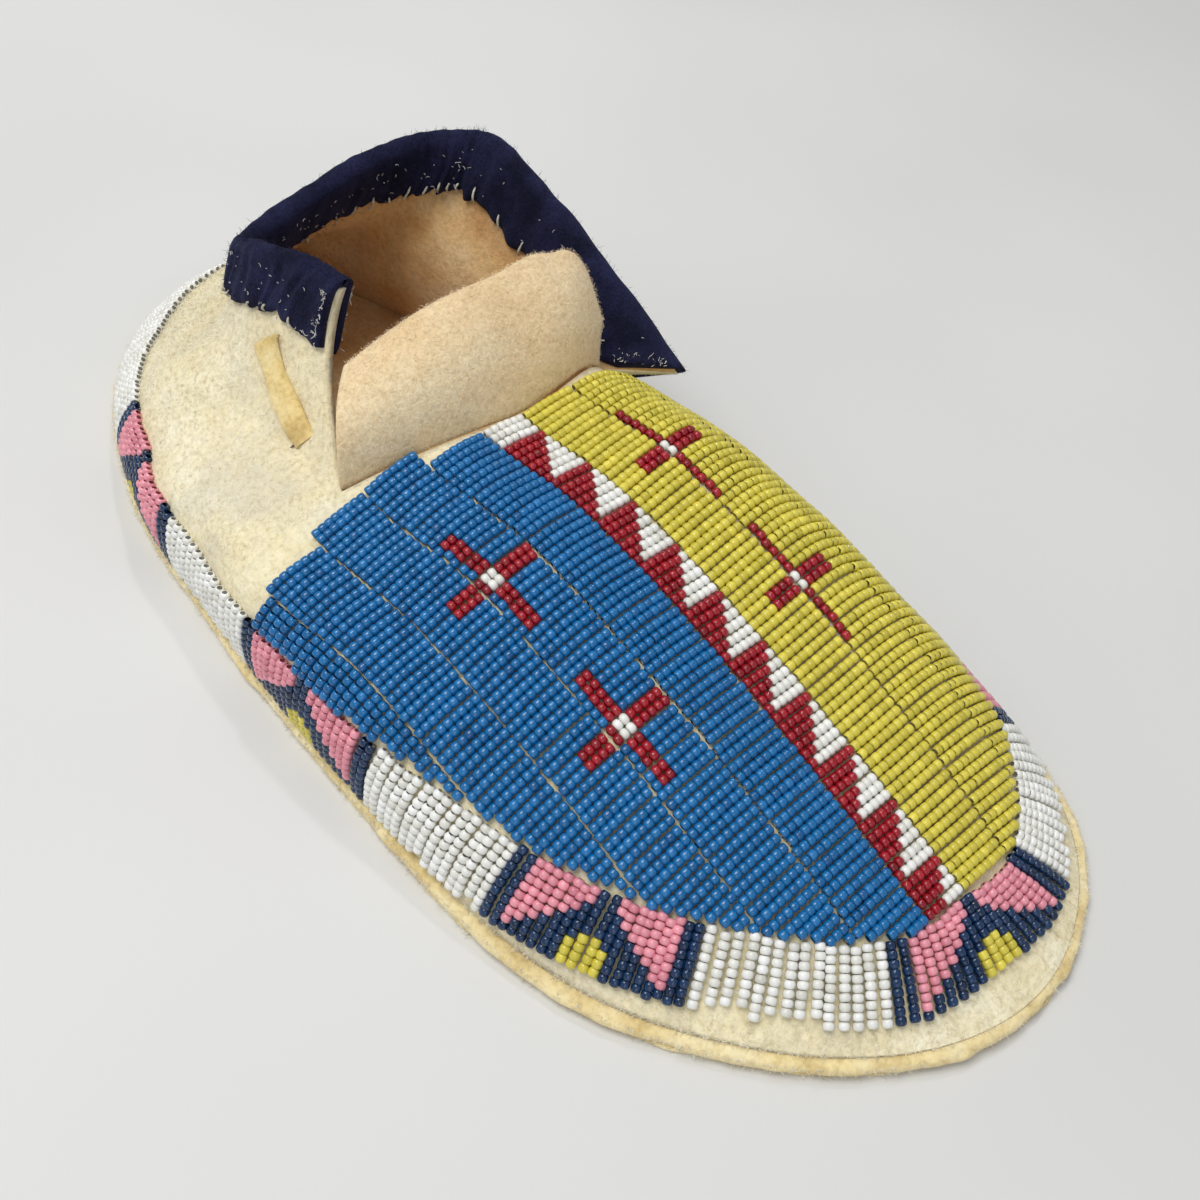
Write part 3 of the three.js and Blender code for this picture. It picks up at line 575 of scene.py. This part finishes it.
# ---------------------------------------------------------------- collar binding: folded strip of wool
NQ, WOOL_T = 260, 1.5
END = T_FRONT - 0.002
bq = np.linspace(-END, END, NQ + 1)
hem = sum(a * np.sin(f * bq * 2 * np.pi + ph) for f, a, ph in ((14, .45, .3), (23, .40, 2.0), (37, .30, 4.4)))
hem_in = sum(a * np.sin(f * bq * 2 * np.pi + ph) for f, a, ph in ((16, .6, 1.3), (27, .5, 3.0), (41, .35, .4)))
puff = sum(a * np.sin(f * bq * 2 * np.pi + ph) for f, a, ph in ((11, .14, 2.3), (29, .12, .6), (47, .08, 1.1)))
ND = 9
rows_out, rows_in, rows_in_back, rows_out_back = [], [], [], []
for i in range(ND + 1):
    k = i / ND
    d_out, d_in = 0.4 + (BIND_W + hem - 0.4) * k, 0.4 + (BIND_W + hem_in - 0.4) * k
    for d, rows_f, rows_b, sgn in ((d_out, rows_out, rows_out_back, 1), (d_in, rows_in, rows_in_back, -1)):
        v_ = below(bq, d)
        p, n = quarter(bq, v_), quarter_normal(bq, v_)
        p = p + n * relief(p)[:, None]
        edge_thin = 1 - 0.45 * smooth((k - 0.86) / 0.14)
        base = GAP * 0.6 if sgn > 0 else -(WALL + GAP * 0.6)
        swell = (WOOL_T + 0.35 * math.sin(math.pi * min(1, k * 1.05)) + 1.6 * puff) * edge_thin
        rows_f.append(p + n * (base + sgn * swell)[:, None])
        rows_b.append(p + n * np.full((len(bq), 1), base))
top, n0 = quarter(bq, np.ones_like(bq)), quarter_normal(bq, np.ones_like(bq))
top = top + n0 * relief(top)[:, None]
up = unit(top - (quarter(bq, below(bq, 3.0)) + n0 * 0))
NF = 9
fold, fold_in = [], []
mid_off, half_w = -WALL / 2, WALL / 2 + GAP * 0.6 + WOOL_T
for i in range(1, NF):
    th = math.pi * i / NF
    fold.append(top + n0 * (mid_off + (half_w + puff * 0.6)[:, None] * math.cos(th)) + up * ((half_w * 0.85 + puff * 0.5)[:, None] * math.sin(th)))
for i in range(1, 4):
    th = math.pi * i / 4
    fold_in.append(top + n0 * (mid_off + (WALL / 2 + GAP * .5) * math.cos(th)) + up * (0.25 + 0.2 * math.sin(th)))
section = rows_out[::-1] + fold + rows_in + rows_in_back[::-1] + fold_in[::-1] + rows_out_back
sec = np.stack(section, 1)
m = sec.shape[1]
idx = np.arange(sec.shape[0] * m).reshape(sec.shape[0], m)
faces = grid_faces(idx, True)
# cut ends: outer line against inner line of the strip
line_a = list(range(0, (ND + 1) + (NF - 1) + (ND + 1)))
line_b = list(range(m - 1, (ND + 1) + (NF - 1) + (ND + 1) - 1, -1))
ia = np.linspace(0, len(line_a) - 1, 24).round().astype(int)
ib = np.linspace(0, len(line_b) - 1, 24).round().astype(int)
end_faces = []
for row, flip in ((0, False), (sec.shape[0] - 1, True)):
    la, lb = idx[row][np.array(line_a)[ia]], idx[row][np.array(line_b)[ib]]
    for j in range(23):
        quad = [la[j], lb[j], lb[j + 1], la[j + 1]]
        end_faces.append(quad[::-1] if flip else quad)
make("wool_binding", sec.reshape(-1, 3), [faces[:, ::-1], np.array(end_faces)], [M_WOOL], None, ["collar_binding"])


def on_collar(q, down, off):
    """Point `down` under the collar's top edge, lifted `off` from the hide's outer face."""
    q = np.atleast_1d(q)
    v_ = below(q, np.atleast_1d(down))
    p, n = quarter(q, v_), quarter_normal(q, v_)
    return p + n * (relief(p) + off)[:, None], n


# whip stitches over the hem of the binding, inside all round, outside fewer
stitches = []
for q in np.linspace(-END + 0.02, END - 0.02, 27) + rng.uniform(-.005, .005, 27):
    k = np.linspace(0, 1, 7)
    lean = rng.uniform(-.003, .012)
    d0, d1 = BIND_W - rng.uniform(2.4, 4.4), BIND_W + rng.uniform(-.2, .7)
    pts, _ = on_collar(q + lean * k, d0 + (d1 - d0) * k, -(WALL + GAP + WOOL_T) - 0.42 - 0.25 * np.sin(np.pi * k) + 0.7 * k**4)
    stitches.append(pts)
for q in np.linspace(-END + 0.05, END - 0.04, 18) + rng.uniform(-.008, .008, 18):
    k = np.linspace(0, 1, 7)
    lean = rng.uniform(-.008, .004)
    d0, d1 = BIND_W - rng.uniform(.8, 2.0), BIND_W + rng.uniform(.1, .7)
    pts, _ = on_collar(q + lean * k, d0 + (d1 - d0) * k, GAP + WOOL_T + 0.25 + 0.2 * np.sin(np.pi * k) - 0.9 * k**3)
    stitches.append(pts)
v, f = tubes(stitches, 0.24, 6, [.6, 1, 1.1, 1.1, 1.1, 1, .6])
make("binding_stitches", v, f, [M_THREAD], None)

# lint and loose fibres caught on the wool, and the wool's own fuzz
lint = []
for i in range(420):
    q = rng.uniform(-END, END) if i < 250 else rng.choice([-1, 1]) * (END - abs(rng.normal()) * 0.006)
    d, side = rng.uniform(0.5, BIND_W - 0.3), rng.choice([1, -1])
    p, n = on_collar(q, d, (GAP + WOOL_T + 0.3) if side > 0 else -(WALL + GAP + WOOL_T + 0.3))
    a = unit(np.cross(n[0], rng.normal(size=3)))
    b = np.cross(n[0], a)
    k = np.linspace(-1, 1, 6)[:, None]
    l = rng.uniform(0.12, 0.5) if rng.uniform() < 0.93 else rng.uniform(0.7, 1.3)
    lint.append(p[0] + a * k * l + b * (k**2 - .4) * rng.uniform(-.6, .6) * l + n[0] * side * (0.1 + 0.15 * (k**2)))
v, f = tubes(lint, rng.uniform(.05, .085, len(lint)), 4, [.5, 1, 1, 1, 1, .5])
make("wool_lint", v, f, [M_LINT], None)
fq, fd, fs = rng.uniform(-END, END, 3600), rng.uniform(-1, 1, 3600), rng.uniform(0.5, 1.6, 3600)
v_top, n_top = quarter(fq, np.ones(3600)), quarter_normal(fq, np.ones(3600))
side = np.sign(fd)
dn = np.abs(fd) * BIND_W
pv = below(fq, dn)
pf, nf = quarter(fq, pv), quarter_normal(fq, pv)
pf = pf + nf * (relief(pf) + np.where(side > 0, GAP + WOOL_T + .1, -(WALL + GAP + WOOL_T + .1)))[:, None]
on_top = rng.uniform(size=3600) < 0.3
upn = unit(v_top - quarter(fq, np.full(3600, 0.95)))
pf = np.where(on_top[:, None], v_top + n_top * (relief(v_top) + rng.uniform(-WALL - .8, .8, 3600))[:, None] + upn * 1.9, pf)
dirn = np.where(on_top[:, None], upn, nf * side[:, None]) + rng.normal(size=(3600, 3)) * 0.75
k = np.linspace(0, 1, 3)[None, :, None]
fz = pf[:, None] + unit(dirn)[:, None] * k * fs[:, None, None] * 0.75 + rng.normal(size=(3600, 1, 3)) * 0.25 * k**2
v, f = tubes(fz, 0.045, 3, [1, .8, .3])
make("wool_fuzz", v, f, [M_WOOL], None)

# ---------------------------------------------------------------- tie thong: flat strips that dive into slits in the quarters; each slit is drawn as a dark thread of painted shadow
for name, q0, v0, q1, v1 in LACES:
    n_l = 40
    kx = np.linspace(-0.03, 1.03, n_l)
    ql, vl = q0 + (q1 - q0) * kx, v0 + (v1 - v0) * kx
    p, n = quarter(ql, vl), quarter_normal(ql, vl)
    rl = relief(p)
    along = unit(np.gradient(p, axis=0))
    sd = unit(np.cross(n, along))
    dive = 1.4 * (smooth((0.07 - kx) / 0.10) + smooth((kx - 0.93) / 0.10))
    lift = rl + LACE_LIFT * 0.35 - dive + 0.2 * np.sin(kx * 7 + q0 * 30)
    wob = 0.2 * np.sin(kx * 6 + 2 + q0 * 50)
    w = LACE_W / 2 * (1 + 0.08 * np.sin(kx * 9 + 1))
    prof = [(-1, 0.0), (-1.04, 0.45), (-.9, 0.85), (-.5, 1.0), (0, .94), (.5, 1.0), (.9, .85), (1.04, .45), (1, 0.0), (0, -.05)]
    sec = np.stack([p + sd * (w * a + wob)[:, None] + n * (lift + LACE_T * b)[:, None] for a, b in prof], 1)
    idx = np.arange(sec.shape[0] * sec.shape[1]).reshape(sec.shape[:2])
    make("thong_" + name[5:], sec.reshape(-1, 3), [grid_faces(idx, True), idx[0][None, ::-1], idx[-1][None, :]], [M_THONG], None, [name])
    # a dark thread across each end of the strip stands for the slit: painted shadow in its opening, not a cut in the
    # hide
    slit_shade_paths = []
    for i in (1, n_l - 2):
        c = p[i] + n[i] * (rl[i] + 0.06)
        s_ = np.linspace(-1, 1, 9)[:, None]
        slit_shade_paths.append(c + sd[i] * s_ * (LACE_W * 0.62) + along[i] * 0.25 * (1 - s_**2))
    v, f = tubes(slit_shade_paths, 0.34, 6, np.sqrt(np.maximum(0.05, 1 - np.linspace(-1, 1, 9) ** 2)))
    make("slit_" + name[5:], v, f, [M_SLIT_SHADOW], None)

# ---------------------------------------------------------------- beadwork, charted by rows and columns
ROW, BEAD, BEAD_R = 2.03, 1.53, 1.0        # between strings; along a string; bead radius
N_ROWS, STRIPE, LANE, LANE_GAP = 65, 6, 8, 0.16
BAND = 9
beads = {c: [] for c in BEAD_MATS}          # centre, axis, normal, length, radius


def put(colour, centre, axis, normal, length=BEAD, radius=BEAD_R):
    beads[colour].append(np.concatenate([centre, axis, normal, [length, radius]]))


# border: stations along the sole's edge from the toe, minus on the outer side; kind of the stretch and its column count
STRETCHES = [  # from, to, kind, columns
    (-30.0, 24.0, "motif", 20), (-67.0, -30.0, "plain", 14), (-106.0, -67.0, "motif", 20), (-137.0, -106.0, "plain", 15),
    (-176.0, -137.0, "motif", 20), (-207.0, -176.0, "plain", 15), (-246.0, -207.0, "motif", 20),
    (24.0, 61.0, "plain", 14), (61.0, 100.0, "motif", 20), (100.0, 131.0, "plain", 15), (131.0, 170.0, "motif", 20),
    (170.0, 201.0, "plain", 15), (201.0, 240.0, "motif", 20)]
t_tab = np.linspace(0, 1, 4001)
s_tab = {}
for sd_ in (-1, 1):
    l = lengths(edge(t_tab, sd_, UPPER_INSET))
    s_tab[sd_] = l[-1] - l
columns = []
for a, b, kind, n in STRETCHES:
    for i in range(n):
        columns.append((a + (b - a) * (i + .5) / n, kind, min(i, n - 1 - i)))
for sd_, last in ((-1, 246.0), (1, 240.0)):
    n = int((s_tab[sd_][0] - last) / ROW)
    for i in range(n):
        columns.append((sd_ * (last + (s_tab[sd_][0] - last) * (i + .5) / n), "plain", 0))


def rim(t, side, s=99.0):
    rear_rim = 0.6 if side < 0 else 1.4
    return rear_rim + (4.3 - rear_rim) * smooth((t - 0.52) / 0.30) + 3.2 * math.exp(-((s + 3) / 16) ** 2)


def column_path(s):
    """Points straight up the hide from the sole's edge at station s."""
    side = -1 if s < 0 else 1
    t = float(np.interp(abs(s), s_tab[side][::-1], t_tab[::-1]))
    if t <= T_FRONT:
        return t, side, quarter(np.full(97, side * t), np.linspace(0, 0.75, 97)), quarter_normal(np.full(97, side * t), np.linspace(0, .75, 97))
    d = 1e-3
    p = edge(t, side, UPPER_INSET)
    tan = unit(edge(min(1, t + d), side, UPPER_INSET) - edge(t - d, side, UPPER_INSET))
    nrm = np.array([-tan[1], tan[0]]) * -side
    if t < 0.70:
        a = np.linspace(1, 0.45, 97)
        half = abs(p[1] - float(section_curve(p[0])[0]))
        xa = p[0] + nrm[0] / max(abs(nrm[1]), 0.3) * half * (1 - a)
        return t, side, vamp(xa, side * a), vamp_normal(xa, side * a)
    r = np.linspace(0, 24, 97)
    xy = p + nrm * r[:, None]
    xy[:, 0] = np.minimum(xy[:, 0], TOE_X - 0.02)
    pts = np.c_[xy, height(xy[:, 0], xy[:, 1])]
    g = 0.3
    hx = (height(np.minimum(xy[:, 0] + g, TOE_X - .02), xy[:, 1]) - height(xy[:, 0] - g, xy[:, 1])) / (2 * g)
    hy = (height(xy[:, 0], xy[:, 1] + g) - height(xy[:, 0], xy[:, 1] - g)) / (2 * g)
    return t, side, pts, unit(np.c_[-hx, -hy, np.ones(len(hx))])


MOTIF_PINK = [0, 0, 8, 7, 6, 5, 4, 3, 2, 0]    # pink beads from the top, by columns from the motif's end to its middle
boundary = []
for s, kind, c in columns:
    t, side, pts, nrm = column_path(s)
    ln = lengths(pts)
    r0 = rim(t, side, s) + rng.normal() * 0.15
    count = BAND if rng.uniform() < 0.8 or kind == "motif" else BAND - 1
    pitch = BEAD * rng.uniform(0.97, 1.01)
    boundary.append((s, *[np.interp(r0 + BAND * BEAD + 0.2, ln, pts[:, i]) for i in (0, 1)]))
    drift = rng.normal() * 0.10
    side_dir = None
    for j in range(count):                      # j counts from the top of the band
        level = BAND - 1 - j
        if kind == "plain":
            colour = "white"
        elif c < 2:
            colour = "navy"
        elif j < MOTIF_PINK[min(c, 9)]:
            colour = "pink"
        else:
            colour = "yellow" if (c >= 8 and level < (4 if c == 9 else 3)) else "navy"
        d = r0 + (level + 0.5) * pitch
        p = np.array([np.interp(d, ln, pts[:, i]) for i in range(3)])
        p2 = np.array([np.interp(d + .5, ln, pts[:, i]) for i in range(3)])
        p1 = np.array([np.interp(d - .5, ln, pts[:, i]) for i in range(3)])
        n = unit(np.array([np.interp(d, ln, nrm[:, i]) for i in range(3)]))
        ax = unit(p2 - p1)
        across_v = np.cross(n, ax)
        arch = 0.35 * math.sin(math.pi * (j + .5) / BAND)
        big = 1.05 if colour in ("white", "pink") else 0.98
        p = p + n * (relief(p[None])[0] + BEAD_R * 0.78 + arch) + across_v * (drift * (1 + 0.4 * math.sin(j * 1.3)))
        put(colour, p, unit(ax + rng.normal(size=3) * 0.05), n, pitch * rng.uniform(.93, 1.0), BEAD_R * big * rng.uniform(.95, 1.03))

boundary.sort()
poly = np.array([[b[1], b[2]] for b in boundary if -190 < b[0] < 190])
poly = np.vstack([[80, poly[0][1]], poly, [80, poly[-1][1]]])


def inside(pt):
    x, y = pt
    x0, y0, x1, y1 = poly[:, 0], poly[:, 1], np.roll(poly[:, 0], -1), np.roll(poly[:, 1], -1)
    hit = ((y0 > y) != (y1 > y)) & (x < (x1 - x0) * (y - y0) / np.where(y1 == y0, 1e-9, y1 - y0) + x0)
    return hit.sum() % 2 == 1


ridge_x = np.linspace(112, 259.8, 3000)
ridge_s = lengths(vamp(ridge_x, np.zeros(3000)))
row_x = np.interp(np.interp(121.0, ridge_x, ridge_s) + ROW * np.arange(-3, N_ROWS), ridge_s, ridge_x)
FIRST_ROW = {-1: [0, -2, -2, 0, 1, 1, 1, 1], 1: [0, 0, 0, 0, 0, 0, 0, 0]}    # where each lane starts, outwards from the stripe
CROSSES = [  # side, x of the centre, bead from the stripe, half width of the lengthwise arm in beads, arms across, arms along
    (-1, 147.1, 13, 2, 5, 5), (-1, 182.9, 13, 2, 5, 5), (1, 145.6, 8, 1, 4, 6), (1, 182.1, 8, 1, 4, 6)]
cross_rows = [int(np.argmin(np.abs(row_x - c[1]))) for c in CROSSES]
sgrid = np.linspace(-1, 1, 801)
lane_lean = {sd_: rng.normal(size=(9, 3)) * 0.2 for sd_ in (-1, 1)}
for r in range(len(row_x)):
    x = row_x[r]
    row = r - 3
    line = vamp(np.full(801, x), sgrid)
    u_line = lengths(line)
    u_line -= u_line[400]
    centre = -2.2 * (1 - smooth(row / 14.0))

    def place(u, dx):
        share = float(np.interp(u, u_line, sgrid))
        p = vamp(x + dx, share)
        n = vamp_normal(np.array(x + dx), np.array(share))
        ahead = vamp(x + dx, float(np.interp(u + .5, u_line, sgrid))) - vamp(x + dx, float(np.interp(u - .5, u_line, sgrid)))
        return p, n, unit(ahead)

    half = STRIPE * BEAD / 2
    t_row = float(t_of_x(x, UPPER_INSET))
    reach = {}
    for sd_ in (-1, 1):
        tn_ = unit(edge(t_row + 1e-3, sd_, UPPER_INSET) - edge(t_row - 1e-3, sd_, UPPER_INSET))
        reach[sd_] = abs(u_line[0 if sd_ < 0 else -1]) - (rim(t_row, sd_) + BAND * BEAD + 0.75) / max(abs(tn_[0]), 0.4)

    def fits(u, p):
        return abs(u) < reach[-1 if u < 0 else 1] if t_row < 0.70 else inside(p[:2])

    if 0 <= row < 63:
        if row < 3:
            red = 0
        else:
            red = 6 - (row - 3) % 6
        dx = rng.normal() * 0.08
        for i in range(STRIPE):
            u = centre - half + (i + .5) * BEAD
            p, n, ax = place(u, dx)
            if not fits(u, p):
                continue
            arch = 0.30 * math.sin(math.pi * (i + .5) / STRIPE)
            put("red" if i < red else "white", p + n * (relief(p[None])[0] + BEAD_R * 0.80 + arch), unit(ax + rng.normal(size=3) * .04), n,
                BEAD * rng.uniform(.94, 1.0), BEAD_R * rng.uniform(.98, 1.06))
    for sd_ in (-1, 1):
        field = "blue" if sd_ < 0 else "yellow"
        i = 0
        jit = {}
        while i < 56:
            lane = i // LANE
            if lane not in jit:
                jit[lane] = (rng.normal() * 0.07, rng.normal() * 0.07, rng.uniform(0.94, 1.0) if rng.uniform() < 0.35 else rng.uniform(0.985, 1.005))
            first = FIRST_ROW[sd_][min(lane, 7)]
            mid_u = half + 0.15 + (lane + .5) * LANE * BEAD + lane * LANE_GAP + jit[lane][1]
            u = centre + sd_ * (mid_u + (i - lane * LANE - LANE / 2 + .5) * BEAD * jit[lane][2])
            if abs(u) > np.abs(u_line[0 if sd_ < 0 else -1]) - 4:
                break
            if row >= first:
                p, n, ax = place(u, jit[lane][0] + 0.10 * math.sin(row * .35 + lane))
                if not fits(u, p):
                    break
                colour = field
                for (cs, cx, cb, wide, arm, leng), cr in zip(CROSSES, cross_rows):
                    if cs != sd_:
                        continue
                    dr, db = r - cr, i - cb
                    mid_b = 0 <= db < wide
                    if dr in (0, 1) and mid_b:
                        colour = "white"
                    elif dr in (0, 1) and (-arm <= db < 0 or wide <= db < wide + arm):
                        colour = "red"
                    elif mid_b and (-leng <= dr < 0 or 2 <= dr < 2 + leng):
                        colour = "red"
                arch = 0.42 * math.sin(math.pi * ((i % LANE) + .5) / LANE)
                wide_r = 1.0 if colour == field else 1.05
                put(colour, p + n * (relief(p[None])[0] + BEAD_R * 0.76 + arch), unit(ax + rng.normal(size=3) * .035), n,
                    BEAD * rng.uniform(.94, 1.0), BEAD_R * wide_r * rng.uniform(.96, 1.03))
            i += 1

SEG = 8
CORD = [(-.52, .70), (-.42, .90), (-.20, 1.0), (.20, 1.0), (.42, .90), (.52, .70)]         # along the bead, radius
ROUND = [(-.50, .52), (-.42, .82), (-.18, 1.0), (.18, 1.0), (.42, .82), (.50, .52)]
th = np.arange(SEG) * 2 * np.pi / SEG + np.pi / SEG
total = 0
for colour, rows_ in beads.items():
    b = np.array(rows_)
    n = len(b)
    total += n
    c, ax, nr, ln, rad = b[:, :3], b[:, 3:6], b[:, 6:9], b[:, 9], b[:, 10]
    sdv = unit(np.cross(nr, ax))
    nr = np.cross(ax, sdv)
    prof_b = np.array(ROUND if colour in ("white", "red", "pink") else CORD)
    pa, pr = prof_b[:, 0], prof_b[:, 1]
    v = (c[:, None, None] + ax[:, None, None] * (ln[:, None] * pa)[:, :, None, None]
         + (rad[:, None] * pr)[:, :, None, None] * (np.cos(th)[:, None] * nr[:, None, None] + np.sin(th)[:, None] * sdv[:, None, None]))
    idx = np.arange(n * len(pa) * SEG).reshape(n, len(pa), SEG)
    nx = np.roll(idx, -1, 2)
    f = np.stack([idx[:, :-1], idx[:, 1:], nx[:, 1:], nx[:, :-1]], -1).reshape(-1, 4)
    tint = np.repeat(np.clip(0.5 + rng.normal(size=n) * 0.16, 0, 1), len(pa) * SEG)
    parts = max(1, math.ceil(n * 80 / 190000))
    for part in range(parts):
        lo, hi = n * part // parts, n * (part + 1) // parts
        vs, fs_ = slice(lo * len(pa) * SEG, hi * len(pa) * SEG), slice(lo * (len(pa) - 1) * SEG, hi * (len(pa) - 1) * SEG)
        make(f"beads_{colour}" + (f"_{part + 1}" if parts > 1 else ""), v.reshape(-1, 3)[vs], f[fs_] - lo * len(pa) * SEG, [BEAD_MATS[colour]], None,
             attr=tint[vs])
print("beads", total, {k: len(v) for k, v in beads.items()})

# ---------------------------------------------------------------- nap of the suede: short flat fibres lying on the hide
def lay_nap(name, p, n, length, width, mat, lift=0.35):
    """Thin three-cornered fibres at points p, lying nearly flat on the surface with normal n."""
    m_ = len(p)
    a = unit(np.cross(n, rng.normal(size=(m_, 3))))
    d = unit(a + n * rng.uniform(0.1, lift * 2, (m_, 1)))
    w = np.cross(d, n)
    l = rng.uniform(0.45, 1.0, (m_, 1)) * length
    base = p - n * 0.05
    v = np.stack([base - w * width, base + w * width, base + d * l + n * 0.05], 1).reshape(-1, 3)
    make(name, v, np.arange(3 * m_).reshape(-1, 3), [mat], None)


nq, nv_ = rng.uniform(-T_FRONT, T_FRONT, 60000), rng.uniform(0.12, 0.97, 60000)
pn, nn = quarter(nq, nv_), quarter_normal(nq, nv_)
keep = (pn[:, 2] > 12) | (np.abs(nq) < 0.05)
pn, nn = pn[keep], nn[keep]
lay_nap("hide_nap_quarters", pn + nn * relief(pn)[:, None], nn, 1.5, 0.07, M_NAP)
rim_p, rim_n = [], []
for s in rng.uniform(-150, 150, 420):
    t, side, pts, nrm = column_path(s)
    ln = lengths(pts)
    for d in rng.uniform(0.0, rim(t, side, s) + 0.6, 14):
        rim_p.append([np.interp(d, ln, pts[:, i]) for i in range(3)])
        rim_n.append([np.interp(d, ln, nrm[:, i]) for i in range(3)])
rim_p, rim_n = np.array(rim_p), unit(np.array(rim_n))
lay_nap("hide_nap_rim", rim_p + rim_n * relief(rim_p)[:, None], rim_n, 1.4, 0.07, M_NAP, 0.6)
ti, tj = rng.integers(1, nA - 1, 16000), rng.integers(1, nB - 6, 16000)
lay_nap("hide_nap_tongue", tp[ti, tj] + rng.normal(size=(16000, 3)) * 0.25, tn[ti, tj], 0.8, 0.06, M_NAP_T)

# ---------------------------------------------------------------- nap along the sole's edge and the rim
n_f = 5200
ft, fside = rng.uniform(0, 1, n_f), rng.choice([-1.0, 1.0], n_f)
ft = np.arccos(1 - 2 * ft) / np.pi * 0.6 + ft * 0.4
e0 = edge(ft, fside, 0.3)
e1 = edge(np.clip(ft + .002, 0, 1), fside, 0.3)
tan = unit(e1 - e0 + 1e-9)
outw = unit(np.c_[tan[:, 1] * -fside * -1, -tan[:, 0] * -fside * -1])
centre_dir = unit(e0 - np.array([131.0, -2.0]))
outw = np.where((outw * centre_dir).sum(1)[:, None] < 0, -outw, outw)
zz = rng.choice([2.9, 2.2, 1.3, 0.6, 3.6], n_f, p=[.30, .2, .15, .15, .2]) + rng.uniform(-.3, .3, n_f)
start = np.c_[np.where((zz > 3.3)[:, None], edge(ft, fside, 2.0), e0), np.maximum(zz, 0.15)]
dirn = unit(np.c_[outw + tan * rng.normal(size=(n_f, 1)) * 0.8, rng.normal(size=n_f) * 0.55])
leng = rng.uniform(0.35, 1.15, n_f)
k = np.linspace(0, 1, 3)[None, :, None]
fib = start[:, None] - dirn[:, None] * 0.2 + dirn[:, None] * k * leng[:, None, None] + rng.normal(size=(n_f, 1, 3)) * 0.22 * k**2
fib[..., 2] = np.maximum(fib[..., 2], 0.06)
v, f = tubes(fib, rng.uniform(.045, .08, n_f), 3, [1, .85, .35])
make("edge_nap", v, f, [M_NAP], None)

# ---------------------------------------------------------------- stage, light, camera
floor_m, nt, bsdf = material("floor_pale", 0.75, **{"Specular IOR Level": 0.25})
co = nt.nodes.new("ShaderNodeTexCoord").outputs["Object"]
nt.links.new(ramp(nt, add_noise(nt, co, 4.0, 2.0), [(0.3, lin(214, 214, 212)), (0.7, lin(224, 224, 222))]), bsdf.inputs["Base Color"])
me = bpy.data.meshes.new("floor")
steps = 12
prof = [(-4.0, 0.0)] + [(2.2, 0.0)] + [(2.2 + 1.2 * math.sin(a), 1.2 - 1.2 * math.cos(a)) for a in np.linspace(0, math.pi / 2, steps)[1:]] + [(3.4, 4.0)]
view_dir = np.array([math.cos(math.radians(128.11)), math.sin(math.radians(128.11))])
side_dir = np.array([-view_dir[1], view_dir[0]])
fv = [(*(view_dir * d + side_dir * s), z) for d, z in prof for s in (-4.0, 4.0)]
me.from_pydata(fv, [], [(2 * i, 2 * i + 1, 2 * i + 3, 2 * i + 2) for i in range(len(prof) - 1)])
me.polygons.foreach_set("use_smooth", [True] * len(me.polygons))
me.materials.append(floor_m)
floor = bpy.data.objects.new("floor", me)
bpy.context.scene.collection.objects.link(floor)

scene = bpy.context.scene
scene.view_settings.view_transform = "Standard"
world = bpy.data.worlds.new("soft")
scene.world = world
world.use_nodes = True
world.node_tree.nodes["Background"].inputs["Color"].default_value = lin(236, 238, 242)
world.node_tree.nodes["Background"].inputs["Strength"].default_value = 0.48


def area(name, loc, target, size, power, colour=(1, 1, 1)):
    l = bpy.data.lights.new(name, "AREA")
    l.shape, l.size, l.energy, l.color = "DISK", size, power, colour
    o = bpy.data.objects.new(name, l)
    z = unit(np.array(loc, float) - np.array(target, float))
    x_ = unit(np.cross([0, 0, 1.0], z) if abs(z[2]) < 0.99 else np.array([1.0, 0, 0]))
    y_ = np.cross(z, x_)
    o.matrix_world = Matrix(((x_[0], y_[0], z[0], loc[0]), (x_[1], y_[1], z[1], loc[1]), (x_[2], y_[2], z[2], loc[2]), (0, 0, 0, 1)))
    scene.collection.objects.link(o)


area("key", (-0.25, -0.35, 1.15), (0, 0, 0), 0.75, 8.6, (1.0, 0.985, 0.96))
area("spark", (-0.35, 0.40, 1.0), (0.02, 0, 0.02), 0.08, 1.3)
area("fill", (0.9, -0.7, 0.7), (0, 0, 0), 0.9, 2.2, (0.96, 0.98, 1.0))

YAW, PITCH, TILT = math.radians(128.11), math.radians(46.01), math.radians(12.52)
fwd = np.array([math.cos(PITCH) * math.cos(YAW), math.cos(PITCH) * math.sin(YAW), -math.sin(PITCH)])
right = unit(np.cross(fwd, [0, 0, 1.0]))
up_ = np.cross(right, fwd)
r2, u2 = right * math.cos(TILT) + up_ * math.sin(TILT), -right * math.sin(TILT) + up_ * math.cos(TILT)
eye = (np.array([271.9, -120.2, 205.6]) + SHIFT) * 0.001
cam = bpy.data.cameras.new("camera")
cam.sensor_fit, cam.sensor_width, cam.lens = "HORIZONTAL", 36.0, 1265.2 / 1200 * 36
cam.shift_x, cam.shift_y = -115 / 1200, -32 / 1200
cam.clip_start, cam.clip_end = 0.01, 50
co_ = bpy.data.objects.new("camera", cam)
co_.matrix_world = Matrix([[r2[i], u2[i], -fwd[i], eye[i]] for i in range(3)] + [[0, 0, 0, 1]])
scene.collection.objects.link(co_)
scene.camera = co_
